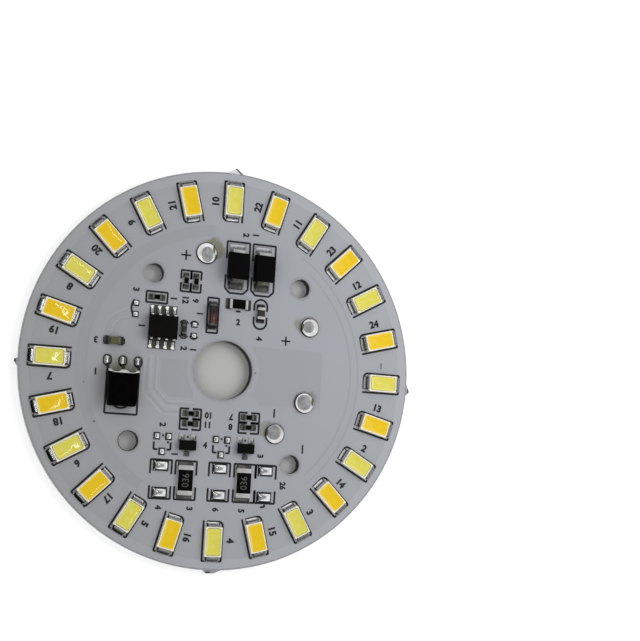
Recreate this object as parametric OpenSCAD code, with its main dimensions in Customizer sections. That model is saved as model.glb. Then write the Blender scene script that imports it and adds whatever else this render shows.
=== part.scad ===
// Round light board: an aluminium-core circuit board with a ring of 24 lamps in two colours,
// its driver parts, and four solder domes for wires.
// The origin is the centre of the middle hole at the board's back face, with +Z towards the lamps.

/* [Board] */
// Diameter of the round board
board_d = 67.7; // [66:0.1:76]
// Thickness of the aluminium core
core_t = 1.5; // [1:0.1:2.4]
// Thickness of the insulating resin on the core
resin_t = 0.1; // [0.08:0.01:0.2]
// Thickness of the copper
copper_t = 0.035; // [0.02:0.005:0.07]
// Thickness of the white mask that covers the copper
mask_cover = 0.03; // [0.02:0.005:0.06]
// How far the mask dips where there is no copper under it
mask_dip = 0.02; // [0.01:0.005:0.03]
// How far the tinned pads stand above the mask
pad_proud = 0.02; // [0.01:0.005:0.05]
// Distance that the mask keeps from the rim and from the holes
mask_setback = 0.25; // [0.2:0.05:0.5]
// Distance that the copper keeps from the rim
copper_setback = 2; // [1.8:0.1:2.6]
// Distance that the copper keeps from the holes
copper_hole_setback = 0.6; // [0.4:0.05:1]
// Gap between a pad and the edge of its opening in the mask
mask_gap = 0.06; // [0.02:0.02:0.12]
// Diameter of the middle hole
centre_hole_d = 10; // [7:0.5:11]
// Diameter of the screw holes
screw_hole_d = 3.2; // [2.4:0.1:3.6]
// Diameter of the circle that the screw holes lie on
screw_circle_d = 40; // [39.4:0.2:40.6]
// Directions of the screw holes, in degrees
screw_angles = [50, 130, 220, 310]; // [0:1:360]

/* [Break-off nibs] */
// Directions of the nibs left where the board was broken from its panel
nib_angles = [89.7, 182.3, 270.7, 358.9]; // [0:0.1:360]
// Width of each nib at the rim
nib_widths = [2.9, 1.8, 3.6, 2.5]; // [1:0.1:6]
// Height of each nib beyond the rim
nib_heights = [0.85, 0.55, 0.5, 0.55]; // [0.1:0.05:1]
// Width of each nib's broken end
nib_end_widths = [0.3, 0.3, 1.35, 0.25]; // [0.1:0.05:2]
// How far each broken end lies to the left of its nib's middle, seen from the board's centre
nib_leans = [0, -0.4, -0.55, -0.4]; // [-1.5:0.05:1.5]

/* [Lamps] */
// Distance from the board's rim to the middle of each lamp
lamp_inset = 4.85; // [4.5:0.05:5.5]
// Length of a lamp's plastic housing, along the radius
lamp_l = 5.1; // [4.6:0.1:5.4]
// Width of a lamp's housing
lamp_w = 3; // [2.6:0.1:3.4]
// Height of a lamp's housing
lamp_h = 0.9; // [0.7:0.05:1.4]
// Slope of the housing's sides, as the inset of its top
lamp_draft = 0.06; // [0.02:0.01:0.12]
// Length of the phosphor window
window_l = 4.65; // [3.6:0.05:4.7]
// Width of the phosphor window
window_w = 2.5; // [1.8:0.1:2.6]
// Radius of the window's corners
window_r = 0.4; // [0.2:0.05:0.6]
// Depth of the cup that holds the phosphor
window_depth = 0.5; // [0.3:0.05:0.6]
// How far the phosphor lies below the housing's rim
phosphor_recess = 0.04; // [0.02:0.01:0.1]
// Gap between the phosphor and the walls of its cup
phosphor_gap = 0.02; // [0.01:0.01:0.05]
// Width of a lamp's metal terminals
lamp_terminal_w = 2; // [1.6:0.1:2.2]
// Thickness of a lamp's terminals
lamp_terminal_t = 0.2; // [0.1:0.05:0.25]
// How far a terminal stands out of the housing
lamp_terminal_out = 0.3; // [0.2:0.05:0.4]
// How far a terminal reaches in under the housing
lamp_terminal_in = 1.3; // [0.8:0.1:1.8]

/* [Soldering] */
// How far a pad reaches beyond the end of its part
pad_toe = 0.6; // [0.4:0.05:0.7]
// How much wider a pad is than its terminal, in all
pad_extra_w = 0.2; // [0.1:0.05:0.4]
// Share of a fillet's height against its terminal's end
fillet_rise = 0.9; // [0.5:0.05:1]
// Thickness of a fillet at its thin end
fillet_tip = 0.03; // [0.02:0.01:0.08]
// Diameter of the solder domes for the wires
dome_d = 3.4; // [2.8:0.1:3.8]
// Height of the solder domes
dome_h = 0.7; // [0.4:0.05:1.2]
// Radius over which a dome turns down to its pad
dome_shoulder = 0.55; // [0.3:0.05:0.9]
// Place of the positive signal dome
signal_plus_at = [-4, 19.55]; // [-20:0.05:20]
// Place of the positive supply dome
supply_plus_at = [14.85, 8.9]; // [-20:0.05:20]
// Place of the negative supply dome
supply_minus_at = [14.65, -4.2]; // [-20:0.05:20]
// Place of the negative signal dome
signal_minus_at = [9.75, -9.95]; // [-20:0.05:20]
// Height of the solder that covers an unused pad
spare_solder_h = 0.22; // [0.1:0.02:0.4]
// Inset of the flat top of that solder
spare_solder_slope = 0.3; // [0.1:0.05:0.4]

/* [Controller] */
// Middle of the eight-lead controller
controller_at = [-10.85, 6.4]; // [-20:0.05:20]
// Length of its body, along the rows of leads
controller_l = 4.9; // [4.7:0.1:5.2]
// Width of its body, from one row to the other
controller_w = 3.9; // [3.6:0.1:4.2]
// Height of its body
controller_h = 1.45; // [1.2:0.05:1.8]
// Distance between neighbouring leads
controller_pitch = 1.27; // [1.15:0.01:1.3]
// Width of a controller lead
controller_lead_w = 0.42; // [0.3:0.02:0.5]
// Diameter of the dimple that marks the first lead
controller_dimple_d = 0.7; // [0.4:0.1:1]

/* [Receiver] */
// Middle of the remote-control receiver's body
receiver_at = [-17.05, -4.27]; // [-20:0.01:20]
// Length of the receiver's body
receiver_l = 5.95; // [5:0.05:6.2]
// Width of the body at the lead end
receiver_w = 5.1; // [4.8:0.1:5.6]
// Width of the body at its free end
receiver_tip_w = 4.5; // [4.2:0.1:5]
// Height of the body
receiver_h = 2.3; // [1.8:0.1:3]
// Diameter of the lens on top of the body
receiver_lens_d = 3.6; // [3:0.1:4]
// How far the lens stands above the body
receiver_lens_rise = 0.6; // [0.3:0.1:1]
// Distance between the receiver's leads
receiver_pitch = 2.54; // [2.4:0.02:2.6]
// Width of a receiver lead
receiver_lead_w = 0.5; // [0.4:0.05:0.6]
// Thickness of a receiver lead
receiver_lead_t = 0.4; // [0.3:0.05:0.5]
// Height at which the leads leave the body
receiver_lead_rise = 0.95; // [0.7:0.05:1.2]
// Depth of the hollows in the cast end between the leads
receiver_hollow = 0.42; // [0.2:0.02:0.5]
// Bevel along the top edge of that end
receiver_bevel = 0.35; // [0.25:0.1:0.45]

/* [Rectifier diodes] */
// Middle of the left rectifier
rectifier_at = [1.2, 17.85]; // [-20:0.05:20]
// Length of a rectifier's body
rectifier_l = 4.5; // [4.2:0.1:4.7]
// Width of a rectifier's body
rectifier_w = 3.6; // [3.2:0.1:3.9]
// Height of a rectifier's body
rectifier_h = 2.2; // [1.9:0.1:2.6]
// Gap between the two rectifiers
rectifier_gap = 1; // [0.6:0.1:1.4]
// Width of a rectifier's leads
rectifier_lead_w = 2.05; // [1.8:0.05:2.3]
// How far a lead stands out of the body
rectifier_lead_out = 0.5; // [0.4:0.05:0.7]
// Width of a rectifier's pads
rectifier_pad_w = 2.8; // [2.4:0.1:3.2]
// How far a rectifier's pad reaches beyond its lead
rectifier_pad_toe = 1.2; // [0.6:0.1:1.4]

/* [Glass diode] */
// Middle of the glass diode
zener_at = [-2.5, 9.2]; // [-20:0.05:20]
// Length of the glass diode over its caps
zener_l = 3.6; // [3.3:0.1:3.8]
// Diameter of its end caps
zener_d = 1.5; // [1.3:0.05:1.6]
// Length of each end cap
zener_cap_l = 0.35; // [0.25:0.05:0.5]
// Diameter of the studs inside the glass
zener_stud_d = 0.8; // [0.6:0.05:0.9]
// How much smaller the glass is than its caps
zener_glass_step = 0.1; // [0.05:0.05:0.2]
// Thickness of the chip between the studs
zener_chip_t = 0.3; // [0.2:0.05:0.5]
// Side of that square chip
zener_chip_side = 0.48; // [0.3:0.02:0.56]
// Gap between the studs and the glass around them
zener_stud_gap = 0.02; // [0.01:0.01:0.04]

/* [Transistors] */
// Height on the board of the row of transistors
transistor_y = -13; // [-13.2:0.05:-12.4]
// Length of a transistor's body
transistor_l = 2.9; // [2.7:0.1:3.1]
// Width of a transistor's body
transistor_w = 1.7; // [1.3:0.1:1.8]
// Height of a transistor's body
transistor_h = 1.05; // [0.9:0.05:1.2]
// Distance between the two leads of one side
transistor_pitch = 2; // [1.8:0.05:2.1]
// Width of a transistor lead
transistor_lead_w = 0.42; // [0.35:0.01:0.5]
// How far a transistor lead reaches from its body
transistor_reach = 0.6; // [0.5:0.05:0.7]

/* [Sensing resistors] */
// Height on the board of the row of sensing resistors
sense_y = -18.87; // [-19.2:0.01:-18.6]
// Length of a sensing resistor
sense_l = 5; // [4.6:0.1:5.2]
// Width of a sensing resistor
sense_w = 2.5; // [2.2:0.1:2.7]
// Height of a sensing resistor
sense_h = 0.6; // [0.45:0.05:0.8]
// Length of a sensing resistor's metal ends
sense_lip = 0.75; // [0.5:0.05:0.9]
// How far a sensing resistor's pad reaches in under it
sense_pad_in = 1.1; // [0.9:0.05:1.4]
// Places along X of the spare part of each lamp string
string_x = [-9.6, 0.5]; // [-20:0.05:20]
// Gap between a spare place and the fitted part beside it
slot_gap = 1.7; // [1.5:0.05:1.8]
// Gap between the last fitted resistor and the last spare place
last_slot_gap = 1.35; // [1.2:0.05:1.5]

/* [Chip resistors and capacitors] */
// Size of a small chip resistor: length, width, height
small_chip = [1.6, 0.8, 0.45]; // [0.4:0.05:1.8]
// Size of the large chip resistor
large_chip = [3.2, 1.6, 0.6]; // [0.5:0.05:3.4]
// Size of the small capacitor
small_capacitor = [1.6, 0.8, 0.8]; // [0.7:0.05:1.7]
// Size of the two larger capacitors
large_capacitor = [2, 1.25, 0.85]; // [0.8:0.05:2.1]
// Length of the metal end of a small chip
small_lip = 0.32; // [0.25:0.01:0.4]
// Length of the metal end of a large chip
large_lip = 0.45; // [0.35:0.05:0.55]
// Thickness of the metal on a chip's ends
plate_t = 0.05; // [0.03:0.01:0.08]
// Gap between the two chips of a pair
pair_gap = 0.9; // [0.7:0.05:1.1]
// Middle of the upper pair of resistors
upper_pair_at = [-6.5, 14.6]; // [-20:0.05:20]
// Height on the board of the two lower pairs of resistors
lower_pair_y = -8.5; // [-8.8:0.05:-8.2]
// How far a lower pair lies to the side of its transistor
lower_pair_shift = 0.3; // [0:0.05:0.5]
// Middle of the single small resistor
single_resistor_at = [-12.1, 11.35]; // [-20:0.05:20]
// Middle of the large chip resistor
dropper_at = [1.95, 11.5]; // [-20:0.05:20]
// Middle of the capacitor in the oval outline
oval_capacitor_at = [5.95, 10.3]; // [-20:0.05:20]
// Middle of the capacitor beside the receiver
receiver_capacitor_at = [-18.75, 3.5]; // [-20:0.05:20]
// Middle of the capacitor beside the controller
controller_capacitor_at = [-7.2, 6.4]; // [-20:0.05:20]
// Distance from that capacitor to the spare place beside it
spare_capacitor_step = 1.75; // [1.6:0.05:1.9]
// Middle of the spare place beside the single small resistor
spare_diode_at = [-15.5, 9.1]; // [-20:0.05:20]

/* [Hidden] */
$fn = 96;
lamp_count = 24;
// Small overlap that keeps a cut clear of the face it starts from
cut = 1;
// How far a lead's root is held inside its body
lead_root = 0.6;

core_top = core_t;
resin_top = core_top + resin_t;
mask_top = resin_top + copper_t + mask_cover;
mask_low = mask_top - mask_dip;
pad_top = mask_top + pad_proud;
lamp_circle_r = board_d / 2 - lamp_inset;
slot_pitch = sense_w + slot_gap;
fitted_x = [for (x = string_x) x + slot_pitch];
spare_x = concat(string_x, [fitted_x[1] + sense_w + last_slot_gap]);
dome_places = [signal_plus_at, supply_plus_at, supply_minus_at, signal_minus_at];
small_pair_step = small_chip[1] + pair_gap;
lower_pair_x = [for (x = fitted_x) x + lower_pair_shift];
rectifier_places = [rectifier_at, rectifier_at + [rectifier_w + rectifier_gap, 0]];
spare_capacitor_at = controller_capacitor_at + [spare_capacitor_step, 0];
zener_glass_l = zener_l - 2 * zener_cap_l;

function two_digits(n) = n < 10 ? str("0", n) : str(n);
function lamp_name(i) = str("lamp_housing_", two_digits(i + 1));

// Colours of the finishes
metal = [0.78, 0.79, 0.8];
solder_colour = [0.8, 0.81, 0.83];
copper = [0.78, 0.48, 0.3];
black_mould = [0.06, 0.06, 0.06];
ceramic = [0.9, 0.88, 0.82];
resistor_glaze = [0.09, 0.09, 0.1];

// Sets its children on the board at a place, turned by an angle, at a height
module place(at, turn = 0, z = pad_top) {
    translate([at[0], at[1], z]) rotate(turn) children();
}

// Repeats its children at both ends of a part, the second time turned about
module both_ends() {
    children();
    rotate(180) children();
}

// Repeats its children round the lamp circle, with +X along the radius
module on_lamp_circle(indices, z = pad_top) {
    for (i = indices) rotate(i * 360 / lamp_count) translate([lamp_circle_r, 0, z]) children();
}

// A block whose four sides slope in by an inset over its height
module sloped_block(size, inset) {
    l = size[0];
    w = size[1];
    h = size[2];
    intersection() {
        rotate([90, 0, 0]) linear_extrude(w + cut, center = true)
            polygon([[-l / 2, 0], [l / 2, 0], [l / 2 - inset, h], [inset - l / 2, h]]);
        rotate([90, 0, 90]) linear_extrude(l + cut, center = true)
            polygon([[-w / 2, 0], [w / 2, 0], [w / 2 - inset, h], [inset - w / 2, h]]);
    }
}

// A moulded body: two sloped blocks that meet at the parting line
module moulded_body(size, parting, draft) {
    translate([0, 0, parting]) {
        sloped_block([size[0], size[1], size[2] - parting], draft);
        mirror([0, 0, 1]) sloped_block([size[0], size[1], parting], draft);
    }
}

// A rectangle with round corners
module round_rectangle(l, w, r) {
    square([l - 2 * r, w], center = true);
    square([l, w - 2 * r], center = true);
    for (x = [-1, 1], y = [-1, 1]) translate([x * (l / 2 - r), y * (w / 2 - r)]) circle(r);
}

// A slot shape along Y: a rectangle with half-round ends
module long_oval(w, l) {
    square([w, l - w], center = true);
    for (y = [-1, 1]) translate([0, y * (l - w) / 2]) circle(w / 2);
}

// Concave profile of a solder fillet, from the terminal's face out to the thin end
function fillet_profile(reach, rise, steps = 5) = concat(
    [[0, 0], [reach, 0]],
    [for (i = [0:steps]) let (a = 90 * i / steps)
        [reach * (1 - sin(a)), fillet_tip + (rise - fillet_tip) * (1 - cos(a))]]
);

// A solder fillet that runs out along +X from a terminal's end face
module fillet(w, reach, height) {
    rotate([90, 0, 0]) linear_extrude(w, center = true)
        polygon(fillet_profile(reach, height * fillet_rise));
}

// Solder on a flat pad: a low block with sloped sides
module solder_pillow(l, w) {
    sloped_block([l, w, spare_solder_h], spare_solder_slope);
}

// Board outline and layers

// How far a nib's foot reaches in from the rim
nib_root = 0.2;

module nib(i) {
    rotate(nib_angles[i]) translate([board_d / 2, 0]) polygon([
        [-nib_root, -nib_widths[i] / 2],
        [nib_heights[i], nib_leans[i] - nib_end_widths[i] / 2],
        [nib_heights[i], nib_leans[i] + nib_end_widths[i] / 2],
        [-nib_root, nib_widths[i] / 2]
    ]);
}

module hole_shapes(grow = 0) {
    circle(centre_hole_d / 2 + grow);
    for (a = screw_angles) rotate(a) translate([screw_circle_d / 2, 0]) circle(screw_hole_d / 2 + grow);
}

// The punched outline that the core and its resin share
module board_outline() {
    difference() {
        union() {
            circle(board_d / 2);
            for (i = [0:len(nib_angles) - 1]) nib(i);
        }
        hole_shapes();
    }
}

module aluminium_core() {
    color(metal) linear_extrude(core_t) board_outline();
}

module insulating_resin() {
    color([0.83, 0.8, 0.68]) translate([0, 0, core_top]) linear_extrude(resin_t) board_outline();
}

// Pads, all drawn flat so that the mask's openings follow them

// The two pads of a part along X, each reaching in by its lip and out by the toe
module end_pads(l, lip, w, grow, toe = pad_toe) {
    both_ends() translate([l / 2 - lip - grow, -w / 2 - grow])
        square([lip + toe + 2 * grow, w + 2 * grow]);
}

module lamp_pads(grow) {
    end_pads(lamp_l + 2 * lamp_terminal_out, lamp_terminal_in, lamp_terminal_w + pad_extra_w, grow);
}

module chip_pads(size, lip, grow) {
    end_pads(size[0], lip, size[1] + pad_extra_w, grow);
}

// Middle of a row of gull-wing feet, measured from the middle of the body
controller_foot = 0.6;
controller_reach = 1.05;
controller_row = controller_w / 2 + controller_reach - controller_foot / 2;
controller_pad_l = controller_foot + pad_toe;

module controller_pads(grow) {
    for (side = [0, 180], i = [-1.5:1.5]) rotate(side)
        translate([i * controller_pitch, controller_row + (pad_toe - controller_foot / 2) / 2])
            square([controller_lead_w + pad_extra_w + 2 * grow, controller_pad_l + 2 * grow],
                center = true);
}

receiver_foot = 0.95;
receiver_reach = 2;
// How far a receiver's pad reaches beyond its foot on all sides
receiver_pad_over = 0.5;
receiver_pad_l = receiver_foot + 2 * receiver_pad_over;
receiver_pad_w = receiver_lead_w + 2 * receiver_pad_over;
receiver_pad_y = receiver_l / 2 + receiver_reach - receiver_foot / 2;

module receiver_pads(grow) {
    for (i = [-1:1]) translate([i * receiver_pitch, receiver_pad_y])
        long_oval(receiver_pad_w + 2 * grow, receiver_pad_l + 2 * grow);
}

rectifier_foot = 1.2;

module rectifier_pads(grow) {
    end_pads(rectifier_l + 2 * rectifier_lead_out, rectifier_foot, rectifier_pad_w, grow,
        rectifier_pad_toe);
}

transistor_foot = 0.35;
transistor_pad = [1, 1.1];
transistor_pad_y = transistor_w / 2 + transistor_reach - transistor_foot / 2;

// Places of a transistor's three feet or pads: two on the far side, one on the near side
function transistor_places(y) = [
    [-transistor_pitch / 2, y],
    [transistor_pitch / 2, y],
    [0, -y]
];

module transistor_pads(grow) {
    for (p = transistor_places(transistor_pad_y)) translate(p)
        square([transistor_pad[0] + 2 * grow, transistor_pad[1] + 2 * grow], center = true);
}

// Sets its children at each small resistor's place
module at_small_resistors() {
    place(single_resistor_at) children();
    for (s = [-1, 1]) {
        place(upper_pair_at + [s * small_pair_step / 2, 0], 90) children();
        for (x = lower_pair_x) place([x, lower_pair_y + s * small_pair_step / 2]) children();
    }
}

module pad_shapes(grow = 0) {
    for (i = [0:lamp_count - 1]) rotate(i * 360 / lamp_count) translate([lamp_circle_r, 0]) lamp_pads(grow);
    for (p = dome_places) translate(p) circle(dome_d / 2 + grow);
    translate(controller_at) controller_pads(grow);
    translate(receiver_at) receiver_pads(grow);
    for (p = rectifier_places) translate(p) rotate(90) rectifier_pads(grow);
    translate(zener_at) rotate(90) end_pads(zener_l, zener_cap_l, zener_d, grow);
    for (x = concat(string_x, fitted_x)) translate([x, transistor_y]) transistor_pads(grow);
    for (x = concat(spare_x, fitted_x)) translate([x, sense_y]) rotate(90)
        end_pads(sense_l, sense_pad_in, sense_w, grow);
    translate(single_resistor_at) chip_pads(small_chip, small_lip, grow);
    for (s = [-1, 1]) {
        translate(upper_pair_at + [s * small_pair_step / 2, 0]) rotate(90)
            chip_pads(small_chip, small_lip, grow);
        for (x = lower_pair_x) translate([x, lower_pair_y + s * small_pair_step / 2])
            chip_pads(small_chip, small_lip, grow);
    }
    translate(dropper_at) chip_pads(large_chip, large_lip, grow);
    translate(oval_capacitor_at) rotate(90) chip_pads(large_capacitor, large_lip, grow);
    translate(receiver_capacitor_at) chip_pads(large_capacitor, large_lip, grow);
    for (p = [controller_capacitor_at, spare_capacitor_at, spare_diode_at]) translate(p) rotate(90)
        chip_pads(small_capacitor, small_lip, grow);
}

module tinned_pads() {
    color(solder_colour) translate([0, 0, resin_top]) linear_extrude(pad_top - resin_top) pad_shapes();
}

// Copper: one pour that cuts split into nets, with bare patches beside the middle hole

lamp_inner_r = lamp_circle_r - lamp_l / 2 - lamp_terminal_out - pad_toe;
cut_w = 0.34;
// Round cuts: distance inside the lamps' pads, width, and first and last direction in degrees
round_cuts = [
    [1.65, 1.9, [97, 237]],
    [1.15, cut_w, [-50, 58]],
    [2.55, cut_w, [-48, 52]]
];
// Corners of the stepped cuts to the left of the middle hole
step_cut = [[-11.6, 1.6], [-11.6, -3.9], [-9.35, -6.15], [-4.6, -6.15]];
step_cut_2 = [[-12.45, -4.9], [-9.8, -7.55], [-7.2, -7.55]];
// Corners of the bent cuts beside the spare diode place
bent_cut = [[-16.5, 8.8], [-18.4, 7.95], [-19.75, 6.6], [-20.2, 5]];
bent_cut_2 = [[-16.5, 7.4], [-17.8, 7.1], [-18.7, 6.2], [-19.1, 5]];
// Bare patches: the low and high corner of each
bare_patches = [[[-10.7, -5.1], [-5, 1.3]], [[5, -5.4], [17.6, 4.6]]];
patch_chamfer = 1.6;
// Copper ring left round the middle hole beside the patches
ring_w = 0.7;

function unit(v) = v / norm(v);
function turned_left(v) = [-v[1], v[0]];

// The point beside a path's corner i at a distance d, mitred
function side_point(path, i, d) =
    let (before = unit(i > 0 ? path[i] - path[i - 1] : path[1] - path[0]),
        after = unit(i < len(path) - 1 ? path[i + 1] - path[i] : path[i] - path[i - 1]),
        n = turned_left(before) + turned_left(after))
    path[i] + n * (d / (n * turned_left(before)));

// A ribbon along a path, as wide as w
module ribbon(path, w) {
    last = len(path) - 1;
    polygon(concat(
        [for (i = [0:last]) side_point(path, i, w / 2)],
        [for (i = [0:last]) side_point(path, last - i, -w / 2)]
    ));
}

// A flat ring sector between two directions less than 180 degrees apart
module ring_sector(r, w, span) {
    far = 3 * r;
    mid = (span[0] + span[1]) / 2;
    intersection() {
        difference() {
            circle(r + w / 2);
            circle(r - w / 2);
        }
        polygon([
            [0, 0],
            far * [cos(span[0]), sin(span[0])],
            far * [cos(mid), sin(mid)],
            far * [cos(span[1]), sin(span[1])]
        ]);
    }
}

module patch(corners, shrink) {
    lo = corners[0] + [shrink, shrink];
    hi = corners[1] - [shrink, shrink];
    difference() {
        polygon([
            [lo[0] + patch_chamfer, lo[1]], [hi[0], lo[1]], [hi[0], hi[1]], [lo[0], hi[1]],
            [lo[0], lo[1] + patch_chamfer]
        ]);
        circle(centre_hole_d / 2 + copper_hole_setback + ring_w + shrink);
    }
}

// Everything inside the pour's edge that has no copper; shrink narrows it on all sides
module copper_cuts(shrink) {
    for (c = round_cuts) ring_sector(lamp_inner_r - c[0], c[1] - 2 * shrink, c[2]);
    for (path = [step_cut, step_cut_2, bent_cut, bent_cut_2]) ribbon(path, cut_w - 2 * shrink);
    for (corners = bare_patches) patch(corners, shrink);
}

// The copper's outline; the mask stands up over it, grown by its own thickness at the sides
module copper_outline(grow) {
    difference() {
        circle(board_d / 2 - copper_setback + grow);
        copper_cuts(grow);
        hole_shapes(copper_hole_setback - grow);
    }
}

module copper_pour() {
    color(copper) translate([0, 0, resin_top]) linear_extrude(copper_t) difference() {
        copper_outline(0);
        pad_shapes(mask_gap);
    }
}

module white_mask() {
    color([0.72, 0.73, 0.76]) translate([0, 0, resin_top]) difference() {
        union() {
            linear_extrude(mask_low - resin_top) circle(board_d / 2 - mask_setback);
            linear_extrude(mask_top - resin_top) copper_outline(mask_cover);
        }
        translate([0, 0, -cut]) linear_extrude(mask_top - resin_top + 2 * cut) {
            pad_shapes(mask_gap);
            hole_shapes(mask_setback);
        }
        translate([0, 0, -cut]) linear_extrude(cut + copper_t) copper_outline(0);
    }
}

// Lamps

module lamp_terminal() {
    translate([lamp_l / 2 - lamp_terminal_in, -lamp_terminal_w / 2, 0])
        cube([lamp_terminal_in + lamp_terminal_out, lamp_terminal_w, lamp_terminal_t]);
}

module lamp_housing(i) {
    color([0.93, 0.92, 0.88]) on_lamp_circle([i]) difference() {
        sloped_block([lamp_l, lamp_w, lamp_h], lamp_draft);
        translate([0, 0, lamp_h - window_depth]) linear_extrude(window_depth + cut)
            round_rectangle(window_l, window_w, window_r);
        both_ends() lamp_terminal();
    }
}

module phosphor(indices) {
    on_lamp_circle(indices) translate([0, 0, lamp_h - window_depth])
        linear_extrude(window_depth - phosphor_recess)
            round_rectangle(window_l - 2 * phosphor_gap, window_w - 2 * phosphor_gap,
                window_r - phosphor_gap);
}

module cool_phosphor() {
    color([0.84, 0.83, 0.37]) phosphor([0:2:lamp_count - 1]);
}

module warm_phosphor() {
    color([0.93, 0.77, 0.2]) phosphor([1:2:lamp_count - 1]);
}

module lamp_terminals() {
    color(metal) on_lamp_circle([0:lamp_count - 1]) both_ends() lamp_terminal();
}

// Leaded parts

// Side outline of a gull-wing lead: root, shoulder, slanted riser, flat foot
function gull_outline(root, shoulder, riser, foot, rise, t) =
    let (k = t * tan(atan2(rise, riser) / 2), knee = shoulder + riser, tip = knee + foot)
    [[-root, rise + t], [shoulder, rise + t], [knee, t], [tip, t],
     [tip, 0], [knee - k, 0], [shoulder - k, rise], [-root, rise]];

// Side outline of a lead that turns down and back in under its body
function tucked_outline(root, out, foot, rise, t) =
    [[-root, rise + t], [out, rise + t], [out, 0], [out - foot, 0],
     [out - foot, t], [out - t, t], [out - t, rise], [-root, rise]];

// A bent lead that leads out along +Y, from an outline drawn along that direction
module bent_lead(outline, w) {
    rotate([90, 0, 90]) linear_extrude(w, center = true) polygon(outline);
}

controller_lead_t = 0.2;
controller_standoff = 0.12;
controller_draft = 0.12;
controller_parting = controller_h / 2;
controller_lead_rise = controller_standoff + controller_parting - controller_lead_t / 2;
controller_shoulder = 0.2;
controller_riser = controller_reach - controller_shoulder - controller_foot;

module controller_lead_set() {
    for (side = [0, 180], i = [-1.5:1.5]) rotate(side)
        translate([i * controller_pitch, controller_w / 2, 0])
            bent_lead(gull_outline(lead_root, controller_shoulder, controller_riser, controller_foot,
                controller_lead_rise, controller_lead_t), controller_lead_w);
}

module controller_body() {
    dimple_inset = 0.55;
    dimple_depth = 0.08;
    color(black_mould) place(controller_at) difference() {
        translate([0, 0, controller_standoff])
            moulded_body([controller_l, controller_w, controller_h], controller_parting,
                controller_draft);
        controller_lead_set();
        translate([-controller_l / 2 + dimple_inset + controller_dimple_d / 2,
            -controller_w / 2 + dimple_inset + controller_dimple_d / 2,
            controller_standoff + controller_h - dimple_depth])
            cylinder(h = cut, d = controller_dimple_d);
    }
}

module controller_leads() {
    color(metal) place(controller_at) controller_lead_set();
}

receiver_shoulder = 0.45;
receiver_riser = receiver_reach - receiver_shoulder - receiver_foot;

module receiver_lead_set() {
    for (i = [-1:1]) translate([i * receiver_pitch, receiver_l / 2, 0])
        bent_lead(gull_outline(lead_root, receiver_shoulder, receiver_riser, receiver_foot,
            receiver_lead_rise, receiver_lead_t), receiver_lead_w);
}

// The lens is the top of a ball whose radius follows from its width and rise
function cap_radius(d, rise) = (d * d / 4 + rise * rise) / (2 * rise);

// Width of the body that stays on each side of a lead between the hollows
receiver_land_side = 0.15;
// Cut corners of the free end
receiver_tip_cut = 0.15;

module receiver_body() {
    hollow_w = receiver_pitch - receiver_lead_w - 2 * receiver_land_side;
    hollow_r = cap_radius(hollow_w, receiver_hollow);
    lens_r = cap_radius(receiver_lens_d, receiver_lens_rise);
    lens_y = -receiver_hollow / 2;
    color(black_mould) place(receiver_at, 0, mask_top) difference() {
        union() {
            linear_extrude(receiver_h) polygon([
                [-receiver_tip_w / 2 + receiver_tip_cut, -receiver_l / 2],
                [receiver_tip_w / 2 - receiver_tip_cut, -receiver_l / 2],
                [receiver_tip_w / 2, -receiver_l / 2 + receiver_tip_cut],
                [receiver_w / 2, receiver_l / 2],
                [-receiver_w / 2, receiver_l / 2],
                [-receiver_tip_w / 2, -receiver_l / 2 + receiver_tip_cut]
            ]);
            intersection() {
                translate([0, lens_y, receiver_h + receiver_lens_rise - lens_r]) sphere(lens_r);
                translate([0, lens_y, receiver_h - receiver_lens_rise])
                    cylinder(h = 3 * receiver_lens_rise, d = receiver_lens_d);
            }
        }
        for (s = [-1, 1])
            translate([s * receiver_pitch / 2, receiver_l / 2 - receiver_hollow + hollow_r, -cut])
                cylinder(h = receiver_h + 2 * cut, r = hollow_r);
        // Bevel at 45 degrees over the whole width of the lead end
        translate([0, receiver_l / 2 - receiver_bevel, receiver_h]) rotate([-45, 0, 0])
            translate([-receiver_w, -receiver_bevel, 0])
                cube([2 * receiver_w, 3 * receiver_bevel, receiver_bevel + cut]);
        translate([0, 0, pad_top - mask_top]) receiver_lead_set();
    }
}

module receiver_leads() {
    color(metal) place(receiver_at) receiver_lead_set();
}

rectifier_lead_t = 0.22;
rectifier_draft = 0.16;
// Gap between a tucked lead and the body above it
rectifier_clearance = 0.06;
rectifier_standoff = rectifier_lead_t + rectifier_clearance;
rectifier_parting = rectifier_h / 2;
rectifier_lead_rise = rectifier_standoff + rectifier_parting - rectifier_lead_t / 2;

module rectifier_lead_set() {
    both_ends() translate([0, rectifier_l / 2, 0])
        bent_lead(tucked_outline(lead_root, rectifier_lead_out, rectifier_foot, rectifier_lead_rise,
            rectifier_lead_t), rectifier_lead_w);
}

module rectifier_body(at) {
    color(black_mould) place(at) difference() {
        translate([0, 0, rectifier_standoff])
            moulded_body([rectifier_w, rectifier_l, rectifier_h], rectifier_parting, rectifier_draft);
        rectifier_lead_set();
    }
}

module rectifier_leads() {
    color(metal) for (p = rectifier_places) place(p) rectifier_lead_set();
}

transistor_lead_t = 0.13;
transistor_standoff = 0.06;
transistor_draft = 0.08;
transistor_parting = transistor_h / 2;
transistor_lead_rise = transistor_standoff + transistor_parting - transistor_lead_t / 2;
transistor_shoulder = 0.1;
transistor_riser = transistor_reach - transistor_shoulder - transistor_foot;
transistor_root = 0.4;

module transistor_lead_set() {
    for (i = [0:2]) {
        p = transistor_places(transistor_w / 2)[i];
        translate(p) rotate(i < 2 ? 0 : 180)
            bent_lead(gull_outline(transistor_root, transistor_shoulder, transistor_riser, transistor_foot,
                transistor_lead_rise, transistor_lead_t), transistor_lead_w);
    }
}

module transistor_body(x) {
    color(black_mould) place([x, transistor_y]) difference() {
        translate([0, 0, transistor_standoff])
            moulded_body([transistor_l, transistor_w, transistor_h], transistor_parting,
                transistor_draft);
        transistor_lead_set();
    }
}

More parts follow.
